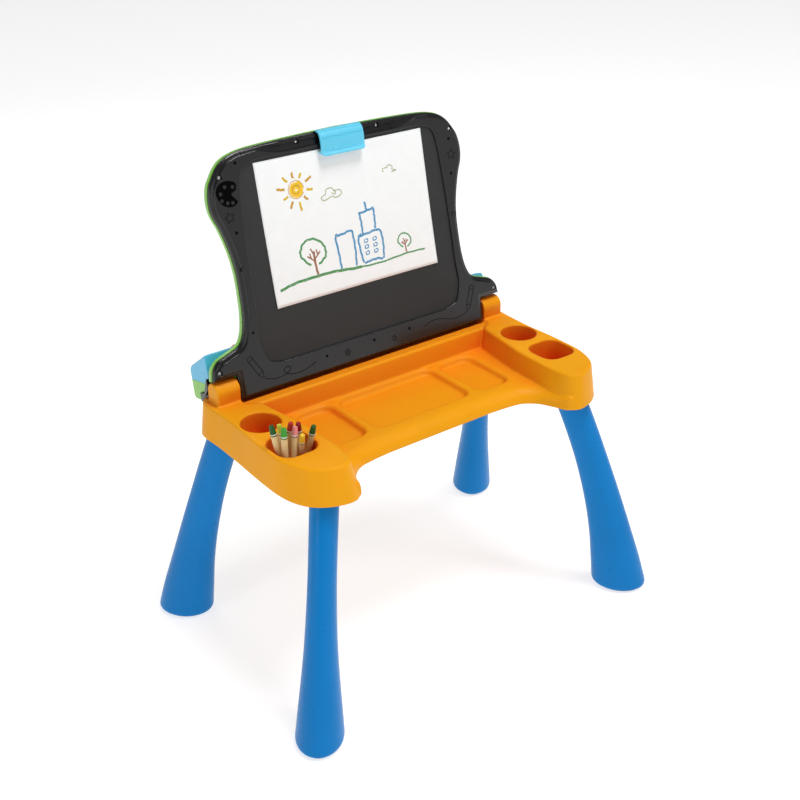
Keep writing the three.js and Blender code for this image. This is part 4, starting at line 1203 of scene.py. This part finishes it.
# ---------------- paper clip
CLIP_OUTSIDE = [
    [300, 7.3], [300.6, 7.9], [302, 7.9], [306.5, 5.9], [310, 5.9], [320, 6.9], [322.5, 6.9],
    [328, 6.3], [333.5, 4.4], [337, 0.8], [338.2, -4.8],
]
CLIP_INSIDE = [
    [335.8, -4.8], [334.6, 0], [332, 2.2], [327, 3.8], [321, 4.3], [309, 3.5], [307.5, -1.8],
    [304.5, -1.8], [303.5, 4.6], [300.5, 5.6],
]


def paper_clip():
    body = beam(CLIP_OUTSIDE + CLIP_INSIDE, -38, 38, LID)
    swing = arc(CLIP_S, CLIP_Z, 3, 180, 360, 16)
    ear = np.vstack([[[CLIP_S + 3, 5], [CLIP_S - 3, 5]], swing])
    ears = [beam(ear, *span(side, 28, 31.5), LID) for side in (1, -1)]
    ribs = [beam(circle(s, z, 0.8, 16), -34, 34, LID) for s, z in ((326.5, 6.3), (306.6, 5.9))]
    body = join(body, merged(ears), merged(ribs))
    body = cut(body, beam(circle(CLIP_S, CLIP_Z, 1.8, 20), -40, 40, LID))
    plan = np.vstack([
        arc(31.4, 306.3, 6.6, -90, 0, 12), arc(34.5, 336.4, 3.5, 0, 90, 8),
        arc(-34.5, 336.4, 3.5, 90, 180, 8), arc(-31.4, 306.3, 6.6, 180, 270, 12),
    ])
    body = combine(body, "INTERSECT", prism(plan, -20, 20, LID))
    skin(softened(body, 0.55, 24), "paper_clip", CLIP)


# ---------------- lid back shell
# Depth and growth of the lid's outline: up the shell's outside, over its rim and down the inside.
SHELL_RINGS = [
    (-32, -11.5), (-31.6, -9.8), (-30.4, -8), (-28, -5.7), (-25, -3.2), (-21.5, -1), (-18, 0.5),
    (-14.5, 1.2), (-10.9, 1.3), (-10.3, 0.8), (-10.3, -1.6), (-17, -1.8), (-22, -4.4), (-27.6, -9),
    (-29.5, -12.6),
]
# Depth and growth of the window in the shell.
WINDOW_RINGS = [(-33, 2), (-32, 2), (-31.4, 0.6), (-30.4, 0), (-28, 0)]


def window_ring(z, grow):
    return flat(rounded_box(-165 - grow, 165 + grow, 86 - grow, 306 + grow, 14 + grow, 10), z)


def back_shell():
    body = loft([lid_ring(z, grow) for z, grow in SHELL_RINGS], LID)
    added = []
    for side in (1, -1):
        knuckle = rounded_box(*span(side, 208, 229.5), -9, 17, 2)
        added.append(prism(knuckle, -30, -10.8, LID))
    added += [prism(circle(x, s, 4, 24), -24, -10.6, LID) for x, s in screw_spots()]
    body = join(body, merged(added))
    taken = [prism(circle(x, s, POST_BORE, 16), -23, -9, LID) for x, s in screw_spots()]
    for side in (1, -1):
        ends = span(side, 211.5, 235)
        taken.append(beam(circle(PIN_S, PIN_Z, PIN_BORE, 24), *ends, LID))
    window = loft([window_ring(z, grow) for z, grow in WINDOW_RINGS], LID)
    body = cut(body, window, merged(taken))
    skin(shaded(body, 32), "lid_back_shell", GREEN)


# ---------------- panel and activity page
PAGE_TINTS = [(250, 214, 90), (140, 205, 235), (245, 150, 120), (165, 215, 120)]
TILE_WIDTH, TILE_HEIGHT, TILE_GAP = 72, 62, 5


def page_figure(kind, x, s):
    """A circle, square, triangle, star, flower or bar."""
    return (
        circle(x, s, 19, 48),
        rounded_box(x - 17, x + 17, s - 17, s + 17, 3, 4),
        circle(x, s - 4, 23, 3),
        star(x, s, 23, 10),
        flower(x, s, 22, 5, 0.45),
        rounded_box(x - 26, x + 26, s - 12, s + 12, 11, 6),
    )[kind]


def activity_page():
    """A page of coloured tiles with plain shapes, under the back shell's window."""
    skin(softened(copied("activity_page"), 0.12, 40, 2), "activity_page", PAPER)
    tiles = [bmesh.new() for _ in PAGE_TINTS]
    figures = bmesh.new()
    for row in range(3):
        for column in range(4):
            x0 = -152 + column * (TILE_WIDTH + TILE_GAP)
            s0 = 98 + row * (TILE_HEIGHT + TILE_GAP)
            tile = rounded_box(x0, x0 + TILE_WIDTH, s0, s0 + TILE_HEIGHT, 6, 5)
            plate(tiles[(row + column) % 4], tile[::-1], -30.1, -29.75)
            figure = page_figure((row * 4 + column) % 6, x0 + TILE_WIDTH / 2, s0 + TILE_HEIGHT / 2)
            plate(figures, figure[::-1], -30.35, -30.05)
    for i, (mesh, tint) in enumerate(zip(tiles, PAGE_TINTS)):
        shade = plastic(f"print_{i}", linear(*tint), 0.5)
        finished(outward(mesh), f"page_tiles_{i + 1}", "lid", shade)
    ink = plastic("print_ink", linear(60, 80, 130), 0.5)
    finished(outward(figures), "page_figures", "lid", ink)


# ---------------- console
COVER_WALL = 2.6
# Half-lengths of the cover, and its share of the full height there.
COVER_ENDS = [[262, 0.86], [261.4, 0.92], [260.2, 0.96], [258, 0.985], [254, 0.995], [248, 1]]
# Where the controls sit along the face.
KEY_X = [-196 + 22 * i for i in range(5)]
VOLUME_X, MODE_X, HANDSET_X, SPEAKER_X, SLIDER_X = -70, (57, 76), 153, 228, -232
VOLUME_Y = 9.5


def cover_rings(profile, trim):
    """Rings of a profile (s, depth) along x; what is above the foot falls away at both ends."""
    rings = []
    ends = [(-x, height) for x, height in COVER_ENDS] + COVER_ENDS[::-1]
    for x, height in ends:
        ring = [(13 + (s - 13) * height if s > 25.6 else s, -depth) for s, depth in profile]
        rings.append(along_x(ring, x - math.copysign(trim, x)))
    return rings


def face_hole(x, y, half_x, half_y, corner, steps):
    """A tool through the sloped face."""
    outline = rounded_box(x - half_x, x + half_x, y - half_y, y + half_y, corner, steps)
    return prism(outline, -8, 8, FACE)


def face_holes():
    holes = [face_hole(x, 0, 9.5, 17, 2.2, 4) for x in KEY_X]
    holes += [prism(circle(VOLUME_X, y, 6.9, 32), -8, 8, FACE) for y in (-VOLUME_Y, VOLUME_Y)]
    holes += [prism(circle(x, 0, 7.9, 32), -8, 8, FACE) for x in MODE_X]
    holes.append(face_hole(0, 0, 44, 14, 2, 4))
    holes.append(face_hole(SLIDER_X, 0, 9, 3.4, 1, 3))
    holes += [face_hole(SPEAKER_X, y, half, 1.2, 1.1, 4) for y, half in ((-6, 7.5), (0, 9), (6, 7.5))]
    return merged(holes)


def console_cover():
    crest = arc(27.4, 76.6, 10.6, 26, 84, 10)[::-1]
    brow = arc(48.2, 37.8, 8, 0, 26, 8)[::-1]
    outside = [
        [13.3, 88], [20, 87.7], *crest.tolist(), *brow.tolist(), [56.2, 32.3], [22.7, 32.3],
        [22.7, 35.2], [13.3, 41],
    ]
    inside = [
        [10, 85.4], [24, 84.6], [31, 82.2], [34.4, 79.3], [51.8, 44.9], [53, 41], [53.3, 36.6],
        [53.3, 30.3], [25, 30.3], [25, 36.5], [10, 44.5],
    ]
    # The front is open to the lid's shell in the middle and walled beyond the shell's edge.
    front = [[20, -34.9], [60, -34.9], [60, -28], [20, -28]]
    walls = merged([beam(front, *span(side, 196, 263), LID) for side in (1, -1)])
    cavity = cut(loft(cover_rings(inside, COVER_WALL), LID), walls)
    body = cut(loft(cover_rings(outside, 0), LID), cavity)
    body = cut(body, face_holes())
    horns = []
    for x in (HANDSET_X - 66, HANDSET_X + 62.5):
        horns.append(prism(rounded_box(x, x + 3.5, -10, 10, 1.6, 4), -1, 7, FACE))
    body = join(body, merged(horns))
    skin(softened(body, 0.5, 34, 2), "console_cover", SKY)


def console_base():
    skin(softened(copied("console_base"), 1.6, 30, 4), "console_base", GREEN)


def display_dots():
    """A face made of square dots on the lens."""
    mesh = bmesh.new()
    pitch, half = 2.9, 1.2
    for column in range(28):
        for row in range(8):
            x, y = -39.2 + pitch * column, -10.2 + pitch * row
            away = math.hypot(x, y)
            head = abs(away - 9.5) < 1.5
            eye = abs(abs(x) - 3.5) < 1.5 and 1 < y < 5
            mouth = y < -2 and abs(away - 5.6) < 1.4
            if head or eye or mouth:
                dot = rounded_box(x - half, x + half, y - half, y + half, 0.3, 1)
                plate(mesh, dot, -0.35, -0.2, FACE)
    ink = plastic("display_ink", linear(150, 190, 170), 0.3)
    finished(outward(mesh), "display_dots", "lid", ink)


def key_notes():
    """A quaver in low relief on each key."""
    hook = np.array([[1.5, 4], [4.2, 1.6], [4.2, -0.4], [1.5, 1.6]])
    shapes = (circle(-1.2, -6, 2.6, 20)[::-1], rounded_box(0.7, 1.5, -6, 4, 0.2, 1)[::-1], hook)
    for i, x in enumerate(KEY_X, 1):
        mesh = bmesh.new()
        for shape in shapes:
            plate(mesh, shape, 3.35, 3.7, FACE @ Matrix.Translation((x, 0, 0)))
        finished(outward(mesh), f"key_note_{i}", f"music_key_{i}", WHITE)


def volume_signs():
    """A minus and a plus in low relief on the volume buttons."""
    minus, plus = ((3, 0.7),), ((3, 0.7), (0.7, 3))
    signs = (("volume_down_button", -VOLUME_Y, minus), ("volume_up_button", VOLUME_Y, plus))
    for name, y, bars in signs:
        mesh = bmesh.new()
        for a, b in bars:
            bar = rounded_box(VOLUME_X - a, VOLUME_X + a, y - b, y + b, 0.3, 2)
            plate(mesh, bar, 3.1, 3.5 + 0.02 * a, FACE)
        finished(outward(mesh), f"{name}_sign", name, WHITE)


def small_parts():
    """Pieces whose CAD shape is right get rounded edges and a finer finish."""
    finishes = {f"music_key_{i}": (KEY, 0.7) for i in range(1, 6)}
    finishes |= {
        "volume_down_button": (KEY, 0.6), "volume_up_button": (KEY, 0.6),
        "music_mode_button": (VIOLET, 0.6), "page_mode_button": (VIOLET, 0.6),
        "power_slider": (WHITE, 0.4), "phone_handset": (WHITE, 1.6), "hinge_cover": (BLACK, 0.6),
        "battery_door": (GREEN, 0.5), "display_window": (LENS, 0.3),
    }
    for node, (material, width) in finishes.items():
        skin(softened(copied(node), width, 30), node, material)


def carried_over():
    """CAD nodes that stay as they are, with the final materials."""
    finishes = {
        "drawing_board": BOARD, "touch_panel": PANEL, "speaker": CONE, "main_board": CIRCUIT,
        "hinge_pin_right": STEEL, "hinge_pin_left": STEEL, "clip_pin": STEEL, "clip_spring": STEEL,
        "battery_contact_left": STEEL, "battery_contact_right": STEEL, "battery_door_screw": STEEL,
        "battery_1": CELL, "battery_2": CELL, "battery_3": CELL,
    }
    for node, material in finishes.items():
        for place in frame["nodes"][node].material_slots:
            place.material = material


desk_top()
legs()
crayons()
front_frame()
lid_screws()
frame_motifs()
paper_sheet()
drawing()
paper_clip()
back_shell()
activity_page()
console_cover()
console_base()
display_dots()
small_parts()
key_notes()
volume_signs()
carried_over()
